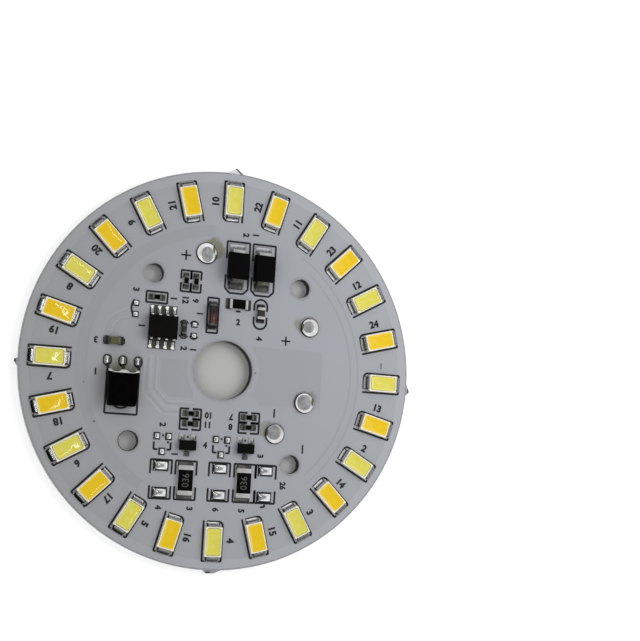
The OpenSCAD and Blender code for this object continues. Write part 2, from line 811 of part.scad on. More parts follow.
module transistor_leads() {
    color(metal) for (x = fitted_x) place([x, transistor_y]) transistor_lead_set();
}

// Glass diode, lying along Y on its end caps

module at_zener() {
    place(zener_at, 90, pad_top + zener_d / 2) rotate([0, 90, 0]) children();
}

module zener_studs() {
    stud_l = (zener_glass_l - zener_chip_t) / 2;
    color(metal) at_zener() for (s = [0, 1]) mirror([0, 0, s]) {
        translate([0, 0, zener_glass_l / 2]) cylinder(h = zener_cap_l, d = zener_d);
        translate([0, 0, zener_glass_l / 2 - stud_l]) cylinder(h = stud_l, d = zener_stud_d);
    }
}

module zener_glass() {
    color([0.6, 0.25, 0.2, 0.5]) at_zener() difference() {
        cylinder(h = zener_glass_l, d = zener_d - zener_glass_step, center = true);
        cylinder(h = zener_glass_l + cut, d = zener_stud_d + 2 * zener_stud_gap, center = true);
    }
}

module zener_chip() {
    color([0.3, 0.3, 0.32]) at_zener()
        cube([zener_chip_side, zener_chip_side, zener_chip_t], center = true);
}

// Chips with two metal ends

// Ceramic of a chip resistor: full height in the middle, thinner under the metal at each end
module resistor_block(size, lip) {
    l = size[0];
    w = size[1];
    h = size[2];
    translate([lip - l / 2, -w / 2, 0]) cube([l - 2 * lip, w, h]);
    translate([plate_t - l / 2, -w / 2, plate_t]) cube([l - 2 * plate_t, w, h - 2 * plate_t]);
}

// Metal end of a chip resistor: it wraps over the top, down the end and under
module resistor_end(size, lip) {
    l = size[0];
    w = size[1];
    h = size[2];
    difference() {
        translate([l / 2 - lip, -w / 2, 0]) cube([lip, w, h]);
        translate([l / 2 - lip - cut, -w / 2 - cut, plate_t])
            cube([lip + cut - plate_t, w + 2 * cut, h - 2 * plate_t]);
    }
}

// Body of a capacitor, which its metal ends surround on five sides
module capacitor_block(size) {
    translate([plate_t - size[0] / 2, plate_t - size[1] / 2, plate_t])
        cube([size[0] - 2 * plate_t, size[1] - 2 * plate_t, size[2] - 2 * plate_t]);
}

module capacitor_end(size, lip) {
    difference() {
        translate([size[0] / 2 - lip, -size[1] / 2, 0]) cube([lip, size[1], size[2]]);
        capacitor_block(size);
    }
}

module small_resistor(at, turn = 0) {
    color(resistor_glaze) place(at, turn) resistor_block(small_chip, small_lip);
}

module single_resistor() {
    small_resistor(single_resistor_at);
}

module upper_resistor_pair() {
    for (s = [-1, 1]) small_resistor(upper_pair_at + [s * small_pair_step / 2, 0], 90);
}

module lower_resistor_pair(x) {
    for (s = [-1, 1]) small_resistor([x, lower_pair_y + s * small_pair_step / 2]);
}

module dropper_resistor() {
    color(resistor_glaze) place(dropper_at) resistor_block(large_chip, large_lip);
}

sense_size = [sense_l, sense_w, sense_h];

module sense_resistor(x) {
    color(resistor_glaze) place([x, sense_y], 90) resistor_block(sense_size, sense_lip);
}

module resistor_ends() {
    color(metal) {
        at_small_resistors() both_ends() resistor_end(small_chip, small_lip);
        place(dropper_at) both_ends() resistor_end(large_chip, large_lip);
        for (x = fitted_x) place([x, sense_y], 90) both_ends() resistor_end(sense_size, sense_lip);
    }
}

module oval_capacitor() {
    color([0.33, 0.31, 0.29]) place(oval_capacitor_at, 90) capacitor_block(large_capacitor);
}

module receiver_capacitor() {
    color([0.38, 0.37, 0.28]) place(receiver_capacitor_at) capacitor_block(large_capacitor);
}

module controller_capacitor() {
    color([0.3, 0.29, 0.27]) place(controller_capacitor_at, 90) capacitor_block(small_capacitor);
}

module capacitor_ends() {
    color(metal) {
        place(oval_capacitor_at, 90) both_ends() capacitor_end(large_capacitor, large_lip);
        place(receiver_capacitor_at) both_ends() capacitor_end(large_capacitor, large_lip);
        place(controller_capacitor_at, 90) both_ends() capacitor_end(small_capacitor, small_lip);
    }
}

// Solder

// Share of the pad's toe that a fillet covers
fillet_cover = 0.9;
fillet_reach = pad_toe * fillet_cover;
zener_fillet_w = 1.05;

module chip_fillets(size) {
    both_ends() translate([size[0] / 2, 0, 0]) fillet(size[1], fillet_reach, size[2]);
}

// A fillet at the tip of a lead that leads out along +Y
module toe_fillet(tip, w, t, reach = fillet_reach) {
    translate([0, tip, 0]) rotate(90) fillet(w, reach, t);
}

// Height of the solder pools round the receiver's feet, and their distance from the pad's edge
receiver_pool_h = 0.28;
receiver_pool_inset = 0.05;

module receiver_solder() {
    difference() {
        for (i = [-1:1]) translate([i * receiver_pitch, receiver_pad_y, 0]) linear_extrude(receiver_pool_h)
            long_oval(receiver_pad_w - 2 * receiver_pool_inset, receiver_pad_l - 2 * receiver_pool_inset);
        receiver_lead_set();
        // Keeps the solder on the far side of the riser
        translate([-receiver_w, receiver_l / 2 - cut, -cut])
            cube([2 * receiver_w, receiver_reach - receiver_foot + cut, 3 * cut]);
    }
}

module solder_fillets() {
    color(solder_colour) {
        on_lamp_circle([0:lamp_count - 1]) both_ends() translate([lamp_l / 2 + lamp_terminal_out, 0, 0])
            fillet(lamp_terminal_w, fillet_reach, lamp_terminal_t);
        place(controller_at) for (side = [0, 180], i = [-1.5:1.5]) rotate(side)
            translate([i * controller_pitch, 0, 0])
                toe_fillet(controller_w / 2 + controller_reach, controller_lead_w, controller_lead_t);
        place(receiver_at) receiver_solder();
        for (p = rectifier_places) place(p) both_ends()
            toe_fillet(rectifier_l / 2 + rectifier_lead_out, rectifier_lead_w, rectifier_lead_rise / 2,
                rectifier_pad_toe * fillet_cover);
        for (x = fitted_x) place([x, transistor_y]) for (i = [0:2]) {
            p = transistor_places(transistor_w / 2 + transistor_reach)[i];
            translate([p[0], 0, 0]) rotate(i < 2 ? 0 : 180)
                toe_fillet(transistor_w / 2 + transistor_reach, transistor_lead_w, transistor_lead_t);
        }
        place(zener_at, 90) both_ends() translate([zener_l / 2, 0, 0])
            fillet(zener_fillet_w, fillet_reach, zener_d / 2);
        at_small_resistors() chip_fillets(small_chip);
        place(dropper_at) chip_fillets(large_chip);
        for (x = fitted_x) place([x, sense_y], 90) chip_fillets(sense_size);
        place(oval_capacitor_at, 90) chip_fillets(large_capacitor);
        place(receiver_capacitor_at) chip_fillets(large_capacitor);
        place(controller_capacitor_at, 90) chip_fillets(small_capacitor);
    }
}

// Share of a dome's height at which its crown starts
dome_crown = 0.85;

// Profile of a wire's solder dome: a gently crowned top that turns down at the shoulder
function dome_profile(steps = 8) = concat(
    [[0, 0], [dome_d / 2, 0]],
    [for (i = [1:steps]) let (a = 90 * i / steps)
        [dome_d / 2 - dome_shoulder * (1 - cos(a)), dome_h * dome_crown * sin(a)]],
    [[0, dome_h]]
);

module wire_solder_domes() {
    color(solder_colour) for (p = dome_places) place(p) rotate_extrude() polygon(dome_profile());
}

module spare_pad_solder() {
    sense_pad_l = sense_pad_in + pad_toe;
    chip_pad_l = small_lip + pad_toe;
    color(solder_colour) {
        for (x = spare_x) place([x, sense_y], 90) both_ends()
            translate([sense_l / 2 - sense_pad_in + sense_pad_l / 2, 0, 0])
                solder_pillow(sense_pad_l, sense_w);
        for (x = string_x) place([x, transistor_y]) for (p = transistor_places(transistor_pad_y))
            translate(p) solder_pillow(transistor_pad[0], transistor_pad[1]);
        for (p = [spare_capacitor_at, spare_diode_at]) place(p, 90) both_ends()
            translate([small_capacitor[0] / 2 - small_lip + chip_pad_l / 2, 0, 0])
                solder_pillow(chip_pad_l, small_capacitor[1] + pad_extra_w);
    }
}

aluminium_core();
insulating_resin();
copper_pour();
white_mask();
tinned_pads();
solder_fillets();
wire_solder_domes();
spare_pad_solder();
for (i = [0:lamp_count - 1]) lamp_housing(i);
cool_phosphor();
warm_phosphor();
lamp_terminals();
controller_body();
controller_leads();
receiver_body();
receiver_leads();
rectifier_body(rectifier_places[0]);  // rectifier_body_left
rectifier_body(rectifier_places[1]);  // rectifier_body_right
rectifier_leads();
zener_glass();
zener_studs();
zener_chip();
transistor_body(fitted_x[0]);  // transistor_body_left
transistor_body(fitted_x[1]);  // transistor_body_right
transistor_leads();
sense_resistor(fitted_x[0]);  // sense_resistor_left
sense_resistor(fitted_x[1]);  // sense_resistor_right
dropper_resistor();
single_resistor();
upper_resistor_pair();
lower_resistor_pair(lower_pair_x[0]);  // left_resistor_pair
lower_resistor_pair(lower_pair_x[1]);  // right_resistor_pair
resistor_ends();
oval_capacitor();
receiver_capacitor();
controller_capacitor();
capacitor_ends();
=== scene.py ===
from math import copysign, cos, hypot, pi, radians, sin, sqrt

import bpy
import bmesh
from mathutils import Matrix, Vector


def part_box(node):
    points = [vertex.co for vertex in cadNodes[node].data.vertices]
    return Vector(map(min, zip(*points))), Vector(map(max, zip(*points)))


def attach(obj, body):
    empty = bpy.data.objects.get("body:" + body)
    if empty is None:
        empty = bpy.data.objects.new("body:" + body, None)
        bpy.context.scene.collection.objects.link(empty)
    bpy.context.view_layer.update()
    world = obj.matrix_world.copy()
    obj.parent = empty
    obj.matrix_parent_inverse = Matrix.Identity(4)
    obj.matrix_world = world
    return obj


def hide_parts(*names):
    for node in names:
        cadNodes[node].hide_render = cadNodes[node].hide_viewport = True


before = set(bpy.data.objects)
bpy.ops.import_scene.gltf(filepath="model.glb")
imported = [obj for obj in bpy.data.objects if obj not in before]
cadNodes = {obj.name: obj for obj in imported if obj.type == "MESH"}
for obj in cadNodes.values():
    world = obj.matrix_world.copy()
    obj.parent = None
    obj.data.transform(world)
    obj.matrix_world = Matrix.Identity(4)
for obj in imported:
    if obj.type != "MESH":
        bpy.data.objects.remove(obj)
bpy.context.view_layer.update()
scene = bpy.context.scene
mm = 0.001
lampCount = 24
lampStep = 360 / lampCount


def topOf(name):
    # the height of a CAD piece's top, in millimetres
    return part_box(name)[1].z / mm


maskTop, padTop, lampTop = topOf("white_mask"), topOf("tinned_pads"), topOf("lamp_housing_01")
lampRadius = sum(corner.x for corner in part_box("lamp_housing_01")) / 2 / mm
# where the driver parts stand: spare and fitted transistors and resistors, the receiver, the controller
stringX = (-9.6, 0.5)
fittedX = (-5.4, 4.7)
spareX = (*stringX, 8.55)
senseY, transistorY, footReach = -18.87, -13.0, 1.4
receiver = {"x": -17.05, "y": 0.23, "pitch": 2.54}
controller = {"x": -10.85, "y": 6.4, "pitch": 1.27, "reach": 3.0}
print("frame loaded:", len(cadNodes), "nodes, lamps on a circle of", round(lampRadius, 2), "mm")


# node helpers

class nodeValue:
    # what a node gives out, which can be added and multiplied as a number can
    def __init__(self, tree, socket):
        self.tree = tree
        self.socket = socket

    def calc(self, operation, other=0.0, third=0.0):
        return pick(self.tree, "Math", {0: self, 1: other, 2: third}, operation=operation)

    def __add__(self, other):
        return self.calc("ADD", other)

    def __sub__(self, other):
        return self.calc("SUBTRACT", other)

    def __mul__(self, other):
        return self.calc("MULTIPLY", other)

    def __truediv__(self, other):
        return self.calc("DIVIDE", other)

    def __abs__(self):
        return self.calc("ABSOLUTE")


def plug(tree, target, value):
    if isinstance(value, nodeValue):
        tree.links.new(value.socket, target)
    else:
        target.default_value = value


def add(tree, kind, inputs=None, **settings):
    # a kind with no family is a shader's
    made = tree.nodes.new(kind if "Node" in kind else "ShaderNode" + kind)
    for key, value in settings.items():
        setattr(made, key, value)
    for key, value in (inputs or {}).items():
        plug(tree, made.inputs[key], value)
    return made


def pick(tree, kind, inputs=None, output=0, **settings):
    return nodeValue(tree, add(tree, kind, inputs, **settings).outputs[output])


def tone(colour):
    # a colour as seen on screen, 0 to 255, turned into the shader's linear value
    def linear(c):
        c /= 255
        return c / 12.92 if c <= 0.04045 else ((c + 0.055) / 1.055) ** 2.4
    return tuple(linear(c) for c in colour) + (1.0,)


def ease(value, low, high, toLow=0.0, toHigh=1.0):
    return pick(value.tree, "MapRange", {"Value": value, "From Min": low, "From Max": high, "To Min": toLow,
                "To Max": toHigh}, "Result", interpolation_type="SMOOTHSTEP")


def fade(value, low, high, amount=1.0):
    # the whole amount up to low, nothing from high on
    return ease(value, low, high, amount, 0.0)


def blend(amount, first, second):
    # either colour may be a node's or an on-screen tone
    first, second = (tone(c) if isinstance(c, tuple) else c for c in (first, second))
    return pick(amount.tree, "Mix", {0: amount, 6: first, 7: second}, 2, data_type="RGBA")


def noise(vector, scale, detail=3.0, rough=0.5):
    return pick(vector.tree, "TexNoise", {"Vector": vector, "Scale": scale, "Detail": detail,
                "Roughness": rough}, "Fac")


def split(vector):
    outputs = add(vector.tree, "SeparateXYZ", {0: vector}).outputs
    return [nodeValue(vector.tree, outputs[axis]) for axis in "XYZ"]


def pair(x, y):
    return pick(x.tree, "CombineXYZ", {0: x, 1: y})


def vectorLength(vector):
    return pick(vector.tree, "VectorMath", {0: vector}, "Value", operation="LENGTH")


def away(x, y):
    return vectorLength(pair(x, y))


def greatest(*values):
    most = values[0]
    for value in values[1:]:
        most = most.calc("MAXIMUM", value)
    return most


def newGroup(name, kind, inputs, outputs, typed="Float"):
    # a number is an input's start value, a word the type of one that has none
    group = bpy.data.node_groups.new(name, kind)
    for label, value in inputs.items():
        own = value if isinstance(value, str) else "Int" if isinstance(value, int) else "Float"
        made = group.interface.new_socket(label, in_out="INPUT", socket_type="NodeSocket" + own)
        if own != value:
            made.default_value = value
    for label in outputs:
        group.interface.new_socket(label, in_out="OUTPUT", socket_type="NodeSocket" + typed)
    given = group.nodes.new("NodeGroupInput").outputs
    results = group.nodes.new("NodeGroupOutput").inputs
    return group, {label: nodeValue(group, given[label]) for label in inputs}, results


# fine grain: a speckle and a height that any moulded or painted surface takes
grainLabels = ("Speckle", "Patches", "Height")
grainGroup, given, results = newGroup("fineGrain", "ShaderNodeTree", {
    "Spot": "Vector", "Scale": 4000.0, "Patch Scale": 300.0}, grainLabels)
speckle = noise(given["Spot"], given["Scale"], 4.0, 0.6)
patches = noise(given["Spot"], given["Patch Scale"], 2.0, 0.5)
grainValues = (ease(speckle, 0.3, 0.7), ease(patches, 0.3, 0.7), patches.calc("MULTIPLY_ADD", 0.6, speckle))
for label, value in zip(grainLabels, grainValues):
    plug(grainGroup, results[label], value)

# place inside a lamp: along the radius from the lamp's middle and across it, in millimetres
lampGroup, given, results = newGroup("placeInLamp", "ShaderNodeTree", {
    "Spot": "Vector", "Circle Radius": lampRadius, "Step": radians(lampStep)}, ("Along", "Across"))
spotX, spotY = (axis * (1 / mm) for axis in split(given["Spot"])[:2])
halfStep = given["Step"] * 0.5
turn = spotY.calc("ARCTAN2", spotX).calc("WRAP", halfStep, halfStep * -1.0)
reach = away(spotX, spotY)
plug(lampGroup, results["Along"], reach * turn.calc("COSINE") - given["Circle Radius"])
plug(lampGroup, results["Across"], reach * turn.calc("SINE"))


class surface:
    # a new material, with the place in millimetres and the fine grain that its colours are made from
    def __init__(self, name, scale=4000.0, patchScale=300.0):
        self.material = bpy.data.materials.new(name)
        self.material.use_nodes = True
        self.tree = self.material.node_tree
        self.spot = pick(self.tree, "TexCoord", None, "Object")
        self.x, self.y, self.z = (axis * (1 / mm) for axis in split(self.spot))
        sizes = {"Scale": scale, "Patch Scale": patchScale}
        self.speckle, self.patches, self.height = self.group(grainGroup, grainLabels, sizes)

    def group(self, group, labels, values=None):
        made = add(self.tree, "Group", {"Spot": self.spot, **(values or {})}, node_tree=group)
        return [nodeValue(self.tree, made.outputs[label]) for label in labels]

    def facing(self, kind="Normal"):
        return split(pick(self.tree, "NewGeometry", None, kind))

    def paint(self, amount, colour):
        self.colour = blend(amount, self.colour, colour)

    def away(self, x, y):
        return away(self.x - x, self.y - y)

    def finish(self, rough, strength, size=0.00003, relief=None, **more):
        # rough is a value or the two ends that the speckle moves between; strength and size are the bumps'
        if isinstance(rough, tuple):
            rough = ease(self.speckle, 0.0, 1.0, *rough)
        bump = pick(self.tree, "Bump", {"Height": relief or self.height, "Strength": strength,
                    "Distance": size}, "Normal")
        names = {"metal": "Metallic", "specular": "Specular IOR Level", "transmission": "Transmission Weight"}
        shader = self.tree.nodes["Principled BSDF"]
        for key, value in {"Base Color": self.colour, "Roughness": rough, "Normal": bump, **more}.items():
            plug(self.tree, shader.inputs[names.get(key, key)], value)
        return self.material


# materials; three numbers are a tone as seen on screen

maskLook = {"overCopper": (166, 169, 175), "bare": (159, 162, 167), "rim": (172, 175, 180),
            "left": (153, 152, 153), "dust": (182, 182, 180), "flux": (112, 112, 78),
            "driedFluxAndShade": (52, 54, 34), "speck": (70, 70, 72), "rough": 0.42}
# flux left around the hand-soldered domes and the controller: x, y, radius, strength
fluxSpots = [(-2.9, 20.5, 1.9, 0.75), (13.6, 8.9, 1.5, 0.5), (15.9, -3.7, 1.35, 0.4), (8.2, -9.5, 1.6, 0.45),
             (-17.0, 0.2, 3.4, 0.12), (-17.05, -1.35, 2.4, 0.5)]
# flux that dried between the controller's leads, with painted shade between them: middle, half length, half
# height, strength
fluxAndShadeBars = [(-10.85, 9.15, 2.35, 0.95, 0.95), (-10.85, 3.65, 2.35, 0.95, 0.95)]
# holes in the board: x, y, radius
boardHoles = [(0, 0, 5)] + [(20 * cos(radians(a)), 20 * sin(radians(a)), 1.6)
                            for a in (50, 130, 220, 310)]
# dark specks in the paint: x, y, radius
paintSpecks = [(-21.1, -10.0, 0.26), (-23.2, -3.7, 0.16), (5.7, 0.05, 0.2), (11.0, -15.4, 0.2)]


def paintedMask():
    m = surface("maskPaint", 5200.0, 120.0)
    copperUnder = ease(m.z, maskTop - 0.016, maskTop - 0.004)
    m.colour = blend(copperUnder, maskLook["bare"], maskLook["overCopper"])
    m.paint(m.patches * 0.35, maskLook["bare"])
    m.paint(ease(away(m.x, m.y), 31.7, 32.3), maskLook["rim"])
    # painted shade: the paint is darker and less blue towards the receiver's side, away from the light on the
    # right
    m.paint(fade(m.x, -36.0, 10.0, 0.55), maskLook["left"])
    wobble = (noise(m.spot, 900.0, 3.0, 0.6) - 0.5) * 1.6
    for x, y, radius, amount in fluxSpots:
        cover = fade(m.away(x, y) + wobble, radius * 0.7, radius * 1.15, amount)
        m.paint(cover, maskLook["flux"])
    # painted shade and dried flux: the mask is darkened between the controller's leads
    for x, y, halfLength, halfHeight, amount in fluxAndShadeBars:
        cover = (fade(abs(m.x - x), halfLength - 0.15, halfLength + 0.15, amount)
                 * fade(abs(m.y - y), halfHeight - 0.15, halfHeight + 0.15))
        m.paint(cover, maskLook["driedFluxAndShade"])
    for x, y, radius in paintSpecks:
        m.paint(fade(m.away(x, y), radius * 0.5, radius, 0.8), maskLook["speck"])
    dust = ease(noise(m.spot, 2600.0, 5.0, 0.7), 0.66, 0.76, 0.0, 0.35)
    m.paint(dust, maskLook["dust"])
    rough = (maskLook["rough"] - 0.05, maskLook["rough"] + 0.07)
    return m.finish(rough, 0.12, 0.00002, specular=0.4)


def speckled(name, dark, light, rough=(0.4, 0.55), scale=4000.0, patchScale=350.0, strength=0.2, size=0.00003,
             patchMix=0.35, patchColour=None, **more):
    m = surface(name, scale, patchScale)
    m.colour = blend(m.speckle, dark, light)
    if patchColour:
        m.paint(m.patches * patchMix, patchColour)
    return m.finish(rough, strength, size, **more)


def phosphorMaterial(name, body, pale, deep):
    m = surface(name, 9000.0, 700.0)
    along, across = (abs(value) for value in m.group(lampGroup, ("Along", "Across")))
    m.colour = blend(m.speckle * 0.3, body, deep)
    m.paint(m.patches * 0.25, pale)
    # the two chips show through the fill as paler shapes
    chip = fade(abs(along - 0.78), 0.34, 0.5) * fade(across, 0.26, 0.42)
    m.paint(chip * 0.35, pale)
    # the fill is thinner and paler against the cup's walls
    rim = greatest(ease(along, 1.75, 2.2), ease(across, 0.8, 1.18))
    m.paint(rim * 0.45, pale)
    return m.finish((0.03, 0.06), 0.3, 0.00004, noise(m.spot, 480.0, 2.0) * 3.0, specular=0.9)


def fromMiddle(m):
    # how far from the board's middle, and how far to the right as a share of that
    reach = vectorLength(m.spot) * (1 / mm)
    return reach, m.x / reach


def innerRight(m):
    # 1 on the inner ends of the lamps at the far right of the board, where painted shade goes
    reach, right = fromMiddle(m)
    return ease(right, 0.8, 0.96) * fade(reach, 27.2, 27.5)


def solderMaterial(name, dark, light, rough, edge, shade=(72, 72, 70), metal=1.0, burntAndShaded=False):
    # bright on top, with painted shade darkening the steep edges, which stands for the dark they reflect
    m = surface(name, 3600.0, 700.0)
    m.colour = blend(m.patches, dark, light)
    if burntAndShaded:
        # painted shade: the solder on the right lamps' inner ends is a duller grey
        m.paint(innerRight(m), (176, 176, 176))
        # the fitted transistors' feet are dull
        beside = abs(m.x - fittedX[0]).calc("MINIMUM", abs(m.x - fittedX[1]))
        feet = fade(beside, 1.6, 1.8) * fade(abs(m.y - transistorY - 1.2), 0.9, 1.1)
        m.paint(feet, (168, 168, 166))
    m.paint(fade(m.facing()[2], *edge), shade)
    if burntAndShaded:
        # the lamps' outer joints are dark with flux and painted shade, deepest at the lower left, away from
        # the light
        reach, right = fromMiddle(m)
        lean = (m.x * 0.906 + m.y * 0.423) / reach
        burnAndShade = blend(ease(lean, -0.98, -0.4), (38, 38, 38), (150, 150, 150))
        outside = ease(right, -0.3, 0.5) * 0.15 + reach
        m.paint(ease(outside, 31.94, 32.04), burnAndShade)
    return m.finish((rough - 0.04, rough + 0.05), 0.03, relief=noise(m.spot, 700.0, 0.0), metal=metal)


# solder domes: place, radius, flat top's offset and half sizes
domes = [((-4.1, 19.65), 1.84, (0.02, -0.27), (1.04, 1.32)), ((15.0, 8.7), 1.7, (-0.36, 0.08), (1.02, 1.02)),
         ((14.8, -4.45), 1.84, (-0.16, 0.06), (1.3, 1.36)), ((9.8, -10.15), 1.76, (-0.32, 0.28), (1.24, 1.3))]
# burnt flux on them: x, y, half sizes
domeFlux = [(-2.95, 20.35, 0.24, 0.8), (13.5, 8.8, 0.24, 0.8), (16.15, -4.2, 0.24, 0.75),
            (8.25, -10.0, 0.22, 0.7)]


def domeMaterial():
    # hand-laid solder, with burnt flux caught beside the flat tops and painted shade on the steep edges
    m = surface("handSolder", 3600.0, 900.0)
    m.colour = blend(m.patches, (222, 223, 225), (248, 248, 248))
    # painted shade: the lower domes are painted duller than the top one, the lowest the most
    dullShade = ease(m.y, -7.5, -6.5, 0.35, 0.2) * fade(m.y, 13.0, 15.0)
    m.paint(dullShade, (190, 190, 192))
    m.paint(fade(m.facing()[2], 0.5, 0.8), (46, 46, 45))
    for x, y, halfX, halfY in domeFlux:
        far = away((m.x - x) * (1 / halfX), (m.y - y) * (1 / halfY))
        m.paint(fade(far, 0.7, 1.15, 0.9), (78, 78, 48))
    rough = ease(m.patches, 0.0, 1.0, 0.21, 0.25)
    return m.finish(rough, 0.04, relief=noise(m.spot, 500.0, 0.0), metal=1.0)


def terminalMaterial():
    # the lamps' metal ends, nearly black where the lamp shades them on the right
    m = surface("lampTerminal", patchScale=350.0)
    m.colour = blend(m.speckle, (84, 84, 82), (116, 116, 114))
    m.paint(innerRight(m), (44, 44, 43))
    return m.finish((0.3, 0.45), 0.03, metal=1.0)


# pale ends round the dropper, the capacitor beside it and the rectifiers: x, y, radius
paleEnds = [(1.95, 11.5, 2.2), (5.95, 10.3, 1.6), (3.5, 21.5, 4.2)]


def endMaterial():
    # tinned ends: pale on the larger resistors, and painted darker on the small parts as painted shade for
    # the dark they reflect
    m = surface("endTin", patchScale=900.0)
    pale = fade(m.y, -15.5, -14.5)
    for x, y, radius in paleEnds:
        pale = greatest(pale, fade(m.away(x, y), radius, radius + 0.3))
    dullShade = blend(m.patches, (60, 60, 54), (112, 112, 106))
    bright = blend(m.speckle, (178, 179, 180), (204, 204, 202))
    m.colour = blend(pale, dullShade, bright)
    return m.finish((0.3, 0.42), 0.12, metal=0.35)


def resinMaterial():
    # the pale resin under the paint, paler on the upper nib, with painted shade on the right of each hole's
    # rim and along the broken nibs' cut edges
    m = surface("boardResin")
    m.colour = blend(m.speckle, (138, 140, 143), (160, 162, 165))
    upperNib = ease(m.y, 33.5, 34.1) * fade(abs(m.x), 0.6, 1.3)
    m.paint(upperNib, (228, 228, 230))
    flank = (m.x - 1.63) * 1.05 + (m.y - 33.65) * 1.3
    cutShade = greatest(ease(flank, -0.55, -0.35) * ease(m.y, 33.75, 33.85),
                     fade(m.y, -34.1, -34.0) * fade(abs(m.x + 0.85), 0.7, 0.9), ease(abs(m.x), 34.05, 34.15))
    for x, y, radius in boardHoles:
        dx, dy = m.x - x, m.y - y
        lean = dx * (0.93 / radius) + dy * (0.37 / radius)
        # the lower left screw hole is dark all round
        start = -2.0 if x < -13 and y < 0 else 0.1
        cut = ease(lean, start, start + 0.5) * fade(away(dx, dy), radius + 0.11, radius + 0.14)
        cutShade = greatest(cutShade, cut)
    m.paint(cutShade, (52, 52, 52))
    return m.finish((0.4, 0.5), 0.2)


def receiverMaterial():
    # glossy black resin, with a painted highlight on the edges that face the leads and up
    m = surface("receiverResin", 3000.0)
    ahead, upward = m.facing()[1:]
    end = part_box("receiver_body")[1].y / mm
    edge = ease(ahead, 0.12, 0.22) * ease(upward, 0.2, 0.4) * ease(m.y, end - 0.56, end - 0.5)
    m.colour = blend(m.speckle, (2, 2, 2), (5, 5, 5))
    m.paint(edge, (214, 214, 210))
    return m.finish((0.3, 0.4), 0.05, 0.00002, specular=0.02)


def twoFacedChip(name, top):
    # black glaze on the top face, white alumina on the sides
    m = surface(name, 5000.0, 600.0)
    glaze = blend(m.speckle, (4, 4, 4), (11, 11, 11))
    alumina = blend(m.speckle, (205, 203, 196), (225, 223, 216))
    onTop = ease(m.z + noise(m.spot, 3000.0) * 0.03, top - 0.06, top - 0.03)
    m.colour = blend(onTop, alumina, glaze)
    return m.finish(ease(onTop, 0.0, 1.0, 0.6, 0.4), 0.15, specular=0.04)


def stretched(vector, scale, detail, rough=0.5):
    pulled = pick(vector.tree, "Mapping", {"Vector": vector, "Scale": scale})
    return noise(pulled, 1.0, detail, rough)


def boardMetal():
    # rolled sheet: long fine lines along X on the back, short cut marks round the rim
    m = surface("boardAluminium")
    lines = stretched(m.spot, (60.0, 6000.0, 900.0), 6.0, 0.65)
    teeth = noise(pair(m.y.calc("ARCTAN2", m.x) * 260.0, m.z * 0.9), 1.0, 4.0, 0.6)
    sides = fade(abs(m.facing("True Normal")[2]), 0.4, 0.6)
    streak = teeth * sides + lines * (sides * -1.0 + 1.0)
    smudge = noise(m.spot, 90.0, 3.0, 0.6)
    m.colour = blend(ease(streak, 0.3, 0.7), (176, 178, 182), (214, 216, 219))
    m.paint(ease(smudge, 0.45, 0.7, 0.0, 0.3), (160, 160, 160))
    # the walls of the holes are painted dark: stain from the cutting and painted shade
    m.paint(sides * fade(away(m.x, m.y), 30.0, 31.0), (44, 44, 46))
    return m.finish(ease(smudge, 0.3, 0.7, 0.34, 0.5), 0.25, 0.00004, streak, metal=0.9)


def glassMaterial():
    m = surface("redGlass")
    streaks = stretched(m.spot, (3000.0, 500.0, 3000.0), 2.0)
    m.colour = blend(ease(streaks, 0.35, 0.65), (96, 30, 24), (136, 64, 48))
    m.paint(ease(m.y, 9.0, 10.0, 0.0, 0.92), (24, 14, 18))
    # painted highlight: a pale streak along the glass's axis on its lower part
    streak = fade(abs(m.x + 2.5), 0.0, 0.2, 0.7) * fade(m.y, 8.8, 9.4)
    m.paint(streak, (214, 166, 146))
    return m.finish(0.06, 0.1, 0.00002, streaks, transmission=0.75, IOR=1.5)


